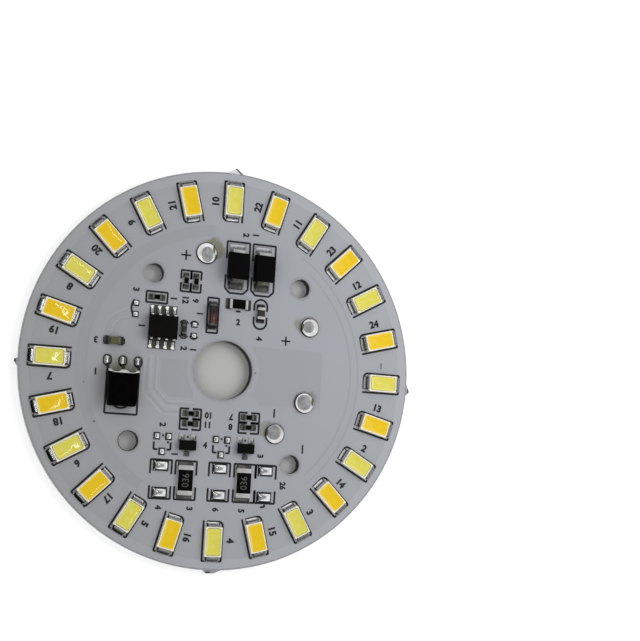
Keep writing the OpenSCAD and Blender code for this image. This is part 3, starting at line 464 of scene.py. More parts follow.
inkGrain = {"rough": (0.5, 0.7), "scale": 7000.0}
paintGrain = {"rough": (0.38, 0.5), "scale": 5200.0, "strength": 0.1, "specular": 0.4}
tinGrain = {"rough": (0.28, 0.42), "strength": 0.15}
looks = {
    "mask": paintedMask(),
    "ink": speckled("printInk", (9, 9, 11), (20, 20, 23), strength=0.3, size=0.00001, **inkGrain),
    "greyInk": speckled("greyPrintInk", (96, 96, 92), (132, 131, 126), **inkGrain),
    "valueInk": speckled("valueInk", (62, 62, 60), (96, 95, 92), **inkGrain),
    # the ridges' paler tones are painted highlight, the valley's darker tone painted shade
    "ridge": speckled("maskRidgeHighlight", (168, 169, 174), (173, 174, 179), **paintGrain),
    "softRidge": speckled("maskSoftRidgeHighlight", (163, 164, 169), (167, 168, 173), **paintGrain),
    "valley": speckled("maskValleyShade", (153, 155, 159), (158, 160, 164), **paintGrain),
    "lampPlastic": speckled("lampPlastic", (246, 243, 226), (252, 250, 238), (0.35, 0.5), patchScale=500.0,
                            patchMix=0.3, patchColour=(248, 240, 200)),
    "coolPhosphor": phosphorMaterial("coolPhosphor", (230, 221, 84), (234, 230, 130), (219, 208, 58)),
    "warmPhosphor": phosphorMaterial("warmPhosphor", (244, 204, 6), (248, 214, 40), (236, 189, 2)),
    "solder": solderMaterial("reflowSolder", (222, 223, 225), (248, 248, 248), 0.18, (0.66, 0.86),
                             burntAndShaded=True),
    # the chip and pool solder are darker copies of the reflow solder: painted shade for the dark they reflect
    "chipSolder": solderMaterial("chipSolder", (50, 50, 48), (88, 88, 86), 0.25, (0.5, 0.8),
                                 (30, 30, 29), 0.5),
    "poolSolder": solderMaterial("poolSolder", (70, 70, 66), (140, 140, 136), 0.2, (0.66, 0.92),
                                 (40, 40, 39)),
    "kneeTin": solderMaterial("kneeTin", (238, 239, 240), (252, 252, 252), 0.2, (0.72, 0.9), (52, 53, 44)),
    "dome": domeMaterial(),
    # the dark and black tin are darker copies of the tin: painted shade for the dark they reflect
    "darkTin": speckled("darkTin", (84, 84, 82), (132, 132, 130), metal=1.0, **tinGrain),
    "blackTin": speckled("blackTin", (26, 26, 25), (60, 60, 58), metal=0.6, **tinGrain),
    "endTin": endMaterial(),
    "leadTin": speckled("leadTin", (170, 171, 174), (206, 207, 210), metal=1.0, **tinGrain),
    "terminal": terminalMaterial(),
    "mould": speckled("blackMould", (11, 11, 10), (19, 19, 18), (0.5, 0.68), 6500.0, strength=0.45,
                      patchColour=(16, 16, 14), specular=0.04),
    "deepMould": speckled("deepBlackMould", (7, 7, 7), (13, 13, 13), (0.5, 0.66), 6500.0, strength=0.4,
                          specular=0.03),
    "receiver": receiverMaterial(),
    "capacitor": speckled("capacitorCeramic", (78, 82, 50), (102, 104, 66), (0.45, 0.6), specular=0.1,
                          patchColour=(60, 62, 40)),
    "darkCapacitor": speckled("darkCapacitorCeramic", (44, 44, 40), (68, 66, 60), (0.45, 0.6), specular=0.05),
    "resin": resinMaterial(),
    "copper": speckled("bareCopper", (176, 110, 78), (205, 138, 102), (0.3, 0.45), metal=1.0, strength=0.1),
    "silicon": speckled("siliconChip", (60, 60, 66), (90, 90, 96), (0.25, 0.35), strength=0.05),
    "redGlass": glassMaterial(),
    "aluminium": boardMetal()}
print("materials ready:", len(looks))


# mesh helpers, all working in millimetres

def dress(obj, look):
    obj.data.materials.clear()
    obj.data.materials.append(look)


def newObject(name, data):
    obj = bpy.data.objects.new(name, data)
    scene.collection.objects.link(obj)
    return obj


def keep(name, mesh, look, replaced=()):
    # takes a mesh in millimetres, makes it a finished piece in metres at the origin
    mesh.transform(Matrix.Scale(mm, 4))
    mesh.update()
    obj = newObject(name, mesh)
    if look is not None:
        dress(obj, look)
    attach(obj, "root")
    if replaced:
        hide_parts(*replaced)


def meshFrom(bm, name, smooth=None):
    mesh = bpy.data.meshes.new(name)
    bmesh.ops.recalc_face_normals(bm, faces=bm.faces)
    bm.to_mesh(mesh)
    bm.free()
    if smooth is not None:
        mesh.shade_smooth() if smooth >= 180 else smoothByAngle(mesh, smooth)
    return mesh


def smoothByAngle(mesh, degrees):
    mesh.shade_smooth()
    bm = bmesh.new()
    bm.from_mesh(mesh)
    for edge in bm.edges:
        edge.smooth = len(edge.link_faces) == 2 and edge.calc_face_angle(0) < radians(degrees)
    bm.to_mesh(mesh)
    bm.free()


def finishedMesh(obj, name):
    # the evaluated result as a plain mesh; the helper object goes
    view = bpy.context.evaluated_depsgraph_get()
    mesh = bpy.data.meshes.new_from_object(obj.evaluated_get(view), preserve_all_data_layers=True,
                                           depsgraph=view)
    mesh.name = name
    bpy.data.objects.remove(obj)
    return mesh


rounding = {"segments": 2, "bevelFrom": 28, "smoothUpTo": 40, "sameSpot": 0.0006, "flat": 1.5}


def softened(name, edge, look):
    # a copy of a CAD solid with its edges rounded, which stands for it
    bm = bmesh.new()
    bm.from_mesh(cadNodes[name].data)
    bmesh.ops.scale(bm, vec=(1 / mm,) * 3, verts=bm.verts)
    bmesh.ops.remove_doubles(bm, verts=bm.verts, dist=rounding["sameSpot"])
    bmesh.ops.dissolve_limit(bm, angle_limit=radians(rounding["flat"]), use_dissolve_boundaries=False,
                             verts=bm.verts, edges=bm.edges)
    obj = newObject("helper", meshFrom(bm, "soft"))
    bevel = obj.modifiers.new("edges", "BEVEL")
    bevel.width = edge
    bevel.segments = rounding["segments"]
    bevel.limit_method = "ANGLE"
    bevel.angle_limit = radians(rounding["bevelFrom"])
    bevel.use_clamp_overlap = True
    mesh = finishedMesh(obj, name + "_soft")
    smoothByAngle(mesh, rounding["smoothUpTo"])
    keep(name + "_soft", mesh, look, [name])


def joined(parts, name):
    bm = bmesh.new()
    for mesh in parts:
        bm.from_mesh(mesh)
    merged = bpy.data.meshes.new(name)
    bm.to_mesh(merged)
    bm.free()
    return merged


def keepAll(name, parts, look, replaced=()):
    keep(name, joined(parts, name), looks[look], replaced)


def placed(mesh, x, y, z=0.0, turn=0.0):
    mesh.transform(Matrix.Translation((x, y, z)) @ Matrix.Rotation(radians(turn), 4, "Z"))
    return mesh


# geometry node trees

def runTree(mesh, tree, values, name):
    obj = newObject("helper", mesh)
    made = obj.modifiers.new("nodes", "NODES")
    made.node_group = tree
    for item in tree.interface.items_tree:
        if item.item_type == "SOCKET" and item.in_out == "INPUT" and item.name in values:
            made[item.identifier] = values[item.name]
    return finishedMesh(obj, name)


def paintAndSend(tree, shape, given, results):
    real = pick(tree, "GeometryNodeRealizeInstances", {0: shape})
    painted = pick(tree, "GeometryNodeSetMaterial", {"Geometry": real, "Material": given["Finish"]})
    plug(tree, results["Geometry"], painted)


# repeats one shape round the board's axis
ringTree, given, results = newGroup("aroundTheBoard", "GeometryNodeTree", {
    "Geometry": "Geometry", "Count": lampCount, "Step Degrees": lampStep, "Start Degrees": 0.0,
    "Finish": "Material"}, ["Geometry"], "Geometry")
points = pick(ringTree, "GeometryNodePoints", {"Count": given["Count"]})
index = pick(ringTree, "GeometryNodeInputIndex")
degrees = index.calc("MULTIPLY_ADD", given["Step Degrees"], given["Start Degrees"])
spin = pick(ringTree, "CombineXYZ", {"Z": degrees.calc("RADIANS")})
ring = pick(ringTree, "GeometryNodeInstanceOnPoints", {"Points": points, "Instance": given["Geometry"],
            "Rotation": spin})
paintAndSend(ringTree, ring, given, results)


def aroundBoard(mesh, look, name, every=1, start=0.0):
    return runTree(mesh, ringTree, {"Count": lampCount // every, "Step Degrees": lampStep * every,
                   "Start Degrees": start, "Finish": looks[look]}, name)


# a flat printed line along every path of edges
lineTree, given, results = newGroup("printedLine", "GeometryNodeTree", {
    "Geometry": "Geometry", "Width": 0.28, "Thickness": 0.02, "Corner": 0.12, "Finish": "Material"},
    ["Geometry"], "Geometry")
path = pick(lineTree, "GeometryNodeMeshToCurve", {"Mesh": given["Geometry"]})
path = pick(lineTree, "GeometryNodeFilletCurve", {"Curve": path, "Radius": given["Corner"],
            "Limit Radius": True, "Count": 4}, mode="POLY")
path = pick(lineTree, "GeometryNodeSetCurveNormal", {"Curve": path}, mode="Z_UP")
section = pick(lineTree, "GeometryNodeCurvePrimitiveQuadrilateral", {"Width": given["Width"],
               "Height": given["Thickness"]})
swept = pick(lineTree, "GeometryNodeCurveToMesh", {"Curve": path, "Profile Curve": section,
             "Fill Caps": True})
paintAndSend(lineTree, swept, given, results)
print("node trees ready")


# printing on the mask

printing = {"width": 0.33, "thin": 0.2, "thickness": 0.02, "corner": 0.15, "number": 1.12, "narrow": 0.95,
            "sign": 0.28, "signGap": 0.14}


def track(*points):
    return (list(points), False)


def box(x0, y0, x1, y1):
    return ([(x0, y0), (x1, y0), (x1, y1), (x0, y1)], True)


def arc(cx, cy, r, a0, a1, steps=20):
    angles = [radians(a0 + (a1 - a0) * i / steps) for i in range(steps + 1)]
    return track(*((cx + r * cos(a), cy + r * sin(a)) for a in angles))


def lineMesh(paths, z, width, thickness, corner, look, name="lines"):
    # each path is a list of points and whether it closes
    mesh = bpy.data.meshes.new("paths")
    vertices, edges = [], []
    for points, closed in paths:
        first = len(vertices)
        vertices += [(x, y, z) for x, y in points]
        edges += [(first + i, first + i + 1) for i in range(len(points) - 1)]
        if closed:
            edges.append((len(vertices) - 1, first))
    mesh.from_pydata(vertices, edges, [])
    values = {"Width": width, "Thickness": thickness, "Corner": corner, "Finish": looks[look]}
    return runTree(mesh, lineTree, values, name)


def printedLines(paths, width=printing["width"]):
    thickness = printing["thickness"]
    return lineMesh(paths, maskTop + thickness / 2, width, thickness, printing["corner"], "ink")


lampPrint = {"side": 1.66, "inner": 25.6, "outer": 32.3, "tick": 0.42, "bend": 0.7, "gap": 1.1}


def lampOutline():
    inner, outer, side, bend, tick = (lampPrint[key] for key in ("inner", "outer", "side", "bend", "tick"))
    corner = [(inner + bend * (1 - sin(a)), side - bend * (1 - cos(a)))
              for a in (radians(15 * i) for i in range(7))]
    upper = track((outer, side - tick), (outer, side), *corner, (inner, -lampPrint["gap"]))
    lower = track((inner - 0.15, -side - 0.05), (outer, -side), (outer, -side + tick))
    return printedLines([upper, lower])


keep("lamp_outlines", aroundBoard(lampOutline(), "ink", "lamp_outlines"), None)


def partOutlines():
    paths = []
    # rectifiers: tall boxes with cut lower corners, open for a stretch on the left side
    for left, right in ((-0.6, 3.4), (4.0, 8.0)):
        paths.append(track((left, 16.4), (left, 14.15), (left + 0.8, 13.35), (right - 0.8, 13.35),
                           (right, 14.15), (right, 22.15), (left, 22.15), (left, 19.2)))
    # receiver with the lens arc below its body, and the glass diode
    paths += [box(-19.55, -8.5, -14.2, -1.75), arc(-17.0, -5.85, 1.7, -130, -50),
              box(-3.35, 6.25, -1.45, 12.2)]
    # capacitor in the oval outline, open at mid height
    cx, r = 5.95, 1.15
    for side in (-1, 1):
        for cy, start, turn, end in ((11.55, 90, -90, 10.75), (8.8, 270, 90, 9.7)):
            curve = arc(cx, cy, r, start, start + turn * side, 8)[0]
            paths.append(track(*curve, (cx + side * r, end)))
    # single small resistor
    paths.append(box(-13.85, 10.4, -10.3, 12.25))
    # upper pair: two tall boxes with a break half way up
    for left, right in ((-8.2, -6.52), (-6.45, -4.75)):
        for edge, inner in ((12.8, 14.3), (16.35, 14.9)):
            paths.append(track((left, inner), (left, edge), (right, edge), (right, inner)))
    # lower pairs: two flat boxes with a break in the middle
    for cx in (-5.1, 5.1):
        for low, high in ((-8.5, -6.85), (-10.35, -8.62)):
            for near, far in ((cx - 0.3, cx - 1.78), (cx + 0.3, cx + 1.78)):
                paths.append(track((near, low), (far, low), (far, high), (near, high)))
    # corner brackets of the spare transistor places
    for cx in stringX:
        for side in (-1, 1):
            near, far = cx + side * 0.75, cx + side * 1.42
            paths.append(track((near, -13.95), (far, -13.95), (far, -12.7)))
    # brackets above and below each place of the sensing row
    for left, right in ((-11.35, -7.75), (-7.1, -3.5), (-1.35, 2.3), (3.05, 6.8), (6.9, 10.45)):
        for near, far in ((-18.0, -15.65), (-20.0, -22.15)):
            paths.append(track((left, near), (left, far), (right, far), (right, near)))
    # spare diode place: an arc on its left
    paths.append(arc(-14.13, 9.25, 2.07, 139.5, 220.5))
    # bars at the ends of the capacitor beside the receiver, and the dash under the dropper
    paths += [track((x, 3.0), (x, 3.95)) for x in (-20.35, -17.05)]
    paths.append(track((1.6, 10.3), (2.4, 10.3)))
    # dots by the transistor places
    for x, y in ((-9.55, -11.6), (-8.65, -12.7), (0.5, -11.6), (1.4, -12.7), (-5.35, -11.6), (4.65, -11.6)):
        paths.append(track((x - 0.16, y), (x + 0.16, y)))
    # leftover mark by the last spare place
    paths.append(track((8.0, -22.85), (8.75, -22.75), (8.7, -22.35)))
    return paths


keep("part_outlines", printedLines(partOutlines()), None)

# the paint stands in ridges beside the stepped and bent tracks and sinks into one more track; the ridges are
# flat strips with a painted highlight and the sunk track has painted shade
ridges = {"thickness": 0.016, "corner": 0.1, "sunk": 0.003, "lines": {
    "inner_ridge": (0.3, "ridge", (-11.24, 1.6), (-11.24, -3.75), (-9.2, -5.79), (-4.6, -5.79)),
    "middle_ridge": (0.42, "ridge", (-12.25, 1.6), (-12.25, -4.15), (-9.6, -6.8), (-7.2, -6.8)),
    "outer_ridge": (0.34, "ridge", (-13.4, 1.2), (-13.4, -4.6), (-10.0, -8.0), (-7.2, -8.0)),
    "bent_ridge_low": (0.34, "softRidge", (-16.5, 7.75), (-17.9, 7.35), (-18.85, 6.35), (-19.3, 5)),
    "bent_ridge_high": (0.34, "softRidge", (-16.5, 9.2), (-18.6, 8.25), (-20.1, 6.8), (-20.6, 5)),
    "outer_track": (0.34, "valley", (-12.9, 1.2), (-12.9, -4.4))}}
for name, (width, look, *points) in ridges["lines"].items():
    mesh = lineMesh([track(*points)], maskTop - ridges["sunk"], width, ridges["thickness"], ridges["corner"],
                    look, name)
    mesh.shade_flat()
    keep(name, mesh, None)

# thin arcs round the small capacitor places beside the controller
thinArcs = [arc(cx, cy, 0.74, a, a + 150, 10) for cx in (-7.2, -5.45) for cy, a in ((7.2, 15), (5.6, 195))]
keep("thin_outlines", printedLines(thinArcs, printing["thin"]), None)


# plain counting numbers beside the parts: the turn in degrees, then number, x and y
numberSpots = {-90: [(12, -7.2, 11.3), (9, -5.5, 11.4), (1, -9.2, 11.4), (1, -4.6, 9.3), (2, -7.0, 3.2),
                     (1, -5.4, 3.1), (1, -14.3, 6.4), (3, -15.6, 12.3), (2, 2.6, 23.5), (1, 4.3, 23.7),
                     (4, 6.0, 6.0), (2, -9.7, -9.8), (1, -7.4, -14.6), (3, 7.5, -14.1), (26, 11.8, -19.0),
                     (4, -9.6, -23.6), (3, -4.3, -23.6), (6, 0.2, -23.6), (5, 4.7, -23.6)],
               0: [(2, 2.1, 8.5), (1, -21.4, -1.8), (4, -2.3, -12.8)],
               180: [(3, -21.7, 3.4), (10, -2.1, -7.75), (11, -2.1, -9.35), (7, 1.9, -7.75), (8, 1.9, -9.45)]}
lampNumbers = {"turn": 6.2, "lean": 2, "radius": 28.9, "height": 1.32, "faint": 1, "faintHeight": 1.1}
signSpots = [("+", -7.6, 18.95, 0, 1.7), ("+", 10.8, 6.0, 0, 1.6), ("-", 15.0, -12.5, -90, 1.5),
             ("-", 9.5, -6.6, -90, 1.5)]


def setText(text, x, y, z, turn, height, stretch=1.0, weight=0.05):
    # raised figures with their middle at x and y
    curve = bpy.data.curves.new("letters", "FONT")
    curve.body = str(text)
    curve.size = 1.0
    curve.extrude = 0.5
    curve.offset = weight
    curve.resolution_u = 3
    mesh = finishedMesh(newObject("helper", curve), "letters")
    bpy.data.curves.remove(curve)
    xs = [v.co.x for v in mesh.vertices]
    ys = [v.co.y for v in mesh.vertices]
    placed(mesh, -(min(xs) + max(xs)) / 2, -(min(ys) + max(ys)) / 2, 0.5)
    scale = height / (max(ys) - min(ys))
    mesh.transform(Matrix.Diagonal((scale * stretch, scale, printing["thickness"], 1)))
    return placed(mesh, x, y, z, turn)


numbers = [setText(number, x, y, maskTop, turn, printing["number"], printing["narrow"])
           for turn, spots in numberSpots.items() for number, x, y in spots]
faintNumbers = []
for i in range(lampCount):
    # the cool lamps carry the lower numbers and the warm ones the upper, both counted down round the board
    number = lampCount - i // 2 if i % 2 else (lampCount // 2 - i // 2) % (lampCount // 2) + 1
    a = radians(i * lampStep + lampNumbers["turn"])
    faint = number == lampNumbers["faint"]
    figure = setText(number, lampNumbers["radius"] * cos(a), lampNumbers["radius"] * sin(a), maskTop,
                     i * lampStep + lampNumbers["lean"], lampNumbers["faintHeight" if faint else "height"])
    (faintNumbers if faint else numbers).append(figure)
keepAll("printed_numbers", numbers, "ink")
keepAll("faint_number", faintNumbers, "greyInk")


def signMesh(kind, x, y, turn, size):
    gap = printing["signGap"]
    bars = [track((-size / 2, 0), (size / 2, 0))]
    if kind == "+":
        bars += [track((0, -size / 2), (0, -gap)), track((0, gap), (0, size / 2))]
    return placed(printedLines(bars, printing["sign"]), x, y, 0, turn)


keepAll("polarity_signs", [signMesh(*spot) for spot in signSpots], "ink")
print("printing done")


# lamps

for i in range(lampCount):
    softened("lamp_housing_%02d" % (i + 1), 0.06, looks["lampPlastic"])


def gridMesh(us, vs, spot, smooth, floor=0.0):
    # a sheet of vertices over two lists of steps, with walls down from its rim and a flat foot
    bm = bmesh.new()
    grid = [[bm.verts.new(spot(u, v)) for v in vs] for u in us]
    for row, following in zip(grid, grid[1:]):
        for j in range(len(vs) - 1):
            bm.faces.new((row[j], following[j], following[j + 1], row[j + 1]))
    rim = [row[0] for row in grid] + grid[-1][1:] + [row[-1] for row in grid[-2::-1]] + grid[0][-2:0:-1]
    foot = [bm.verts.new((v.co.x, v.co.y, floor)) for v in rim]
    for i in range(len(rim)):
        bm.faces.new((rim[i - 1], foot[i - 1], foot[i], rim[i]))
    bm.faces.new(foot)
    return meshFrom(bm, "grid", smooth)


def spokeMesh(rings, spokes, middle, spot, smooth):
    # rings of vertices, counted from 1, round a middle of the given height; the last ring is the foot
    bm = bmesh.new()
    centre = bm.verts.new((0, 0, middle))
    angles = [2 * pi * j / spokes for j in range(spokes)]
    rows = [[bm.verts.new(spot(i, a)) for a in angles] for i in range(1, rings + 1)]
    for j in range(spokes):
        bm.faces.new((centre, rows[0][j - 1], rows[0][j]))
        for inner, outer in zip(rows, rows[1:]):
            bm.faces.new((inner[j - 1], outer[j - 1], outer[j], inner[j]))
    bm.faces.new(list(reversed(rows[-1])))
    return meshFrom(bm, "spokes", smooth)


def even(count):
    return [i / count * 2 - 1 for i in range(count + 1)]


def crowded(count):
    # steps from -1 to 1 that lie closer together at both ends
    return [sin(step * pi / 2) for step in even(count)]


fill = {"corner": 0.38, "low": lampTop - 0.5, "wallTop": lampTop - 0.015, "dish": 0.05, "reach": 0.4,
        "hollow": 0.06, "cool": (0.0, 4.44, 2.38), "warm": (lampStep, 4.62, 2.48)}


def phosphorFill(length, width):
    # a cup of silicone that climbs its walls a little
    hx, hy, corner = length / 2, width / 2, fill["corner"]

    def spot(u, v):
        # the square grid is squeezed onto a rounded rectangle
        x, y = u * hx, v * hy
        dx, dy = abs(x) - hx + corner, abs(y) - hy + corner
        if dx > 0 and dy > 0:
            share = max(dx, dy) / hypot(dx, dy)
            x = copysign(hx - corner + dx * share, x)
            y = copysign(hy - corner + dy * share, y)
        climb = max(0.0, 1 - min(hx - abs(x), hy - abs(y)) / fill["reach"])
        hollow = fill["hollow"] * (1 - (x / hx) ** 2) * (1 - (y / hy) ** 2)
        return lampRadius + x, y, fill["wallTop"] - fill["dish"] * (1 - climb ** 2.4) - hollow

    return gridMesh(crowded(22), crowded(12), spot, 50, fill["low"])


for kind in ("cool", "warm"):
    start, *size = fill[kind]
    name = kind + "_phosphor"
    mesh = aroundBoard(phosphorFill(*size), kind + "Phosphor", name + "_fill", 2, start)
    keep(name + "_fill", mesh, None, [name])
softened("lamp_terminals", 0.04, looks["terminal"])
print("lamps done")


# solder

toe = 0.02  # how thick the solder's edges are


def patchMesh(length, width, inner, contact, high, bulge=0.02, steps=14):
    # a reflowed joint on a pad: x runs outwards from the terminal's end face at 0, y across the pad.
    # It falls in a hollow curve from the contact to the pad's edge, and its outer edge is round.
    half = width / 2

    def spot(u, v):
        x = (length + inner) * (u + 1) / 2 - inner
        y = copysign(abs(v) ** 0.8, v) * half
        dx = max(x, 0) / length
        dy = max(abs(y) - contact / 2, 0) / max(half - contact / 2, 1e-4)
        far = min(1.0, hypot(dx, dy) if x > 0 else dy)
        edge = max(min(length - x, half - abs(y)) / 0.14, 0)
        z = toe + (high - toe) * (1 - far) ** 1.7 + bulge * sin(min(1.0, edge) * pi / 2)
        if edge < 1:
            z = min(z, toe + (z - toe) * edge ** 0.5)
        return x, y * (1.0 - 0.1 * dx ** 4), z

    return gridMesh(even(steps), even(steps), spot, 60)


def pillowMesh(length, width, height, crown, skirt, steps=18):
    # solder on an empty pad: a cushion inside a steep edge
    hx, hy = length / 2, width / 2

    def along(step, half):
        # places where the edge meets the cushion get their own row
        if abs(step) <= 0.9:
            return step / 0.9 * (half - skirt)
        return copysign(half - skirt + (abs(step) - 0.9) / 0.1 * skirt, step)

    def spot(u, v):
        x, y = along(u, hx), along(v, hy)
        near = min(1.0, min(hx - abs(x), hy - abs(y)) / skirt)
        swell = max(0.0, 1 - 0.9 * (x / (hx - skirt)) ** 2) * max(0.0, 1 - 0.9 * (y / (hy - skirt)) ** 2)
        return x, y, toe / 2 + height * near + crown * (swell if near >= 1 else 0.1 * near)

    return gridMesh(crowded(steps), crowded(steps), spot, 20)


def profileJoint(profile, width, skirt=0.16):
    # a joint that keeps one profile along x over its width and has steep, rounded sides
    half = width / 2
    sides = [-1, -1 + skirt * 0.3 / half, -1 + skirt / half, -0.6, -0.3, 0]

    def spot(point, v):
        x, z = point
        near = min(1.0, (1 - abs(v)) * half / skirt)
        shrink = 1 - 0.08 * max(0.0, x / profile[-1][0]) ** 4
        return x - 0.05 * v * v * (x > 0), v * half * shrink, toe + (z - toe) * near

    return gridMesh(profile, sides + [-v for v in sides[-2::-1]], spot, 24)


def stamped(mesh, x, y, turn=0.0):
    return placed(mesh.copy(), x, y, padTop, turn)


lampJoint = {
    "outer": [(-0.3, 0.4), (0, 0.4), (0.03, 0.37), (0.1, 0.36), (0.18, 0.36), (0.22, 0.34), (0.56, 0.02)],
    "inner": [(-0.3, 0.42), (0, 0.42), (0.13, 0.15), (0.19, 0.17), (0.27, 0.18), (0.36, 0.16), (0.42, 0.13),
              (0.55, 0.02)],
    "width": 2.2, "reach": 2.85, "smoothUpTo": 24}
unit = []
for end, side, turn in (("outer", 1, 0), ("inner", -1, 180)):
    joint = profileJoint(lampJoint[end], lampJoint["width"])
    unit.append(stamped(joint, lampRadius + side * lampJoint["reach"], 0, turn))
lampSolder = aroundBoard(joined(unit, "unit"), "solder", "lamp_solder")
smoothByAngle(lampSolder, lampJoint["smoothUpTo"])

# solder under the driver parts
joints, brightFeet, rectifierTops, pools, streaks = [], [], [], [], []


def twoEnded(x, y, turn, length, width, high, contact=None):
    mesh = patchMesh(0.6, width + 0.18, 0.25, contact or width, high)
    a = radians(turn)
    for side in (1, -1):
        joints.append(stamped(mesh, x + side * cos(a) * length / 2, y + side * sin(a) * length / 2,
                              turn + (0 if side > 0 else 180)))


tinyChip, midChip = (1.6, 0.8, 0.4), (2.0, 1.25, 0.62)
# x, y, turn, length, width and height, and the contact's width where it is narrower
chipPlaces = [(-12.1, 11.35, 0, *tinyChip), (-7.35, 14.6, 90, *tinyChip), (-5.65, 14.6, 90, *tinyChip),
              (-5.1, -7.65, 0, *tinyChip), (-5.1, -9.35, 0, *tinyChip), (5.0, -7.65, 0, *tinyChip),
              (5.0, -9.35, 0, *tinyChip), (1.95, 11.5, 0, 3.2, 1.6, 0.5), (5.95, 10.3, 90, *midChip),
              (-18.75, 3.5, 0, *midChip), (-7.2, 6.4, 90, 1.6, 0.8, 0.6),
              (-2.5, 9.2, 90, 3.6, 1.5, 0.75, 1.0)]
for place in chipPlaces:
    twoEnded(*place)
rectifierJoint = patchMesh(length=1.1, width=2.68, inner=0.25, contact=2.1, high=0.7)
for x in (1.2, 5.8):
    rectifierTops.append(stamped(rectifierJoint, x, 20.6, 90))
    joints.append(stamped(rectifierJoint, x, 15.1, -90))
leadJoint = patchMesh(length=0.55, width=0.62, inner=0.75, contact=0.42, high=0.2, bulge=0.03, steps=10)
for side in (1, -1):
    for i in range(4):
        brightFeet.append(stamped(leadJoint, controller["x"] + (i - 1.5) * controller["pitch"],
                                  controller["y"] + side * controller["reach"], 90 * side))
footJoint = patchMesh(length=0.5, width=0.9, inner=0.4, contact=0.42, high=0.16, bulge=0.05, steps=10)
for x in fittedX:
    twoEnded(x, senseY, 90, 5.0, 2.5, 0.28)
    brightFeet += [stamped(footJoint, x + dx, transistorY + footReach, 90) for dx in (-1.0, 1.0)]
    joints.append(stamped(footJoint, x, transistorY - footReach, -90))

poolShape = {"length": 1.9, "width": 1.45, "height": 0.34, "rings": 9, "spokes": 32}


def poolSpot(i, a):
    # a place on an oval pool of solder, in which the flat lead lies
    k = min(1.0, i / poolShape["rings"])
    x, y = cos(a) * poolShape["width"] / 2, sin(a) * poolShape["width"] / 2
    y += copysign((poolShape["length"] - poolShape["width"]) / 2, y) if abs(y) > 1e-9 else 0
    return x * k, y * k, toe + poolShape["height"] * (1 - k ** 2.2) ** 0.8 if i <= poolShape["rings"] else 0


pool = spokeMesh(poolShape["rings"] + 1, poolShape["spokes"], toe + poolShape["height"], poolSpot, 60)
streak = pillowMesh(0.5, 1.3, 0.1, 0.05, 0.08, 10)
streak.transform(Matrix.Translation((-0.08, 0.05, 0.34)) @ Matrix.Rotation(radians(11), 4, "Y"))
for i in (-1, 0, 1):
    for shape, made in ((pool, pools), (streak, streaks)):
        made.append(stamped(shape, receiver["x"] + i * receiver["pitch"], receiver["y"]))
keepAll("lamp_joints", [lampSolder] + streaks + brightFeet, "solder", ["solder_fillets"])
keepAll("chip_joints", joints, "chipSolder")
keepAll("rectifier_tops", rectifierTops, "leadTin")
keepAll("receiver_pools", pools, "poolSolder")

# cushions on the empty pads: length, width, height, crown, skirt
sensePillow = pillowMesh(2.66, 1.84, 0.4, 0.15, 0.29)
smallPillow = pillowMesh(1.14, 1.24, 0.32, 0.1, 0.23)
chipPillow = pillowMesh(1.1, 1.02, 0.28, 0.1, 0.21)
spare = [stamped(sensePillow, x, senseY + dy) for x in spareX for dy in (2.25, -2.25)]
spare += [stamped(smallPillow, x + dx, transistorY + dy) for x in stringX
          for dx, dy in ((-1.0, 1.275), (1.0, 1.275), (0, -1.275))]
spare += [stamped(chipPillow, x, y + dy) for x, y in ((-5.45, 6.4), (-15.5, 9.1)) for dy in (0.94, -0.94)]
keepAll("spare_solder", spare, "solder", ["spare_pad_solder"])

domeShape = {"height": 0.58, "sag": 0.02, "shoulder": 0.31, "skirt": 0.13, "slope": 0.5, "easier": 0.16,
             "spokes": 96, "rings": 8}


def domeMesh(radius, offset, flat):
    # a wire pad flooded by hand: an oval flat top beside the middle, a slope round it and a steep edge
    height, steps, skirt = domeShape["height"], domeShape["rings"], domeShape["skirt"]
    edge = height - domeShape["sag"]
    foot = radius - skirt

    def spot(i, a):
        dx, dy = cos(a), sin(a)
        # where this spoke leaves the oval top
        qa = (dx / flat[0]) ** 2 + (dy / flat[1]) ** 2
        qb = -2 * (dx * offset[0] / flat[0] ** 2 + dy * offset[1] / flat[1] ** 2)
        qc = (offset[0] / flat[0]) ** 2 + (offset[1] / flat[1]) ** 2 - 1
        leave = min((-qb + sqrt(qb * qb - 4 * qa * qc)) / (2 * qa), foot - 0.04)
        # where the top comes close to the edge, the slope stays gentle and the edge is taller
        easier = domeShape["easier"] * max(0.0, dx * 0.87 - dy * 0.5)
        low = max(domeShape["shoulder"], edge - (domeShape["slope"] - easier) * (foot - leave))
        if i <= steps:
            k = sin(i / steps * pi / 2)
            r, z = leave * k, height - domeShape["sag"] * k * k
        elif i <= 2 * steps:
            k = 1 - cos((i - steps) / steps * pi / 2)
            r, z = leave + (foot - leave) * k, edge - (edge - low) * (0.85 * k + 0.15 * k * k)
        else:
            k = (i - 2 * steps) / 2
            r, z = foot + skirt * k, low * (1 - k) * (1 + 0.15 * k)
        return dx * r, dy * r, z

    return spokeMesh(2 * steps + 2, domeShape["spokes"], height, spot, 180)


domeMeshes = [stamped(domeMesh(radius, offset, flat), *spot) for spot, radius, offset, flat in domes]
keepAll("wire_domes", domeMeshes, "dome", ["wire_solder_domes"])
print("solder done")


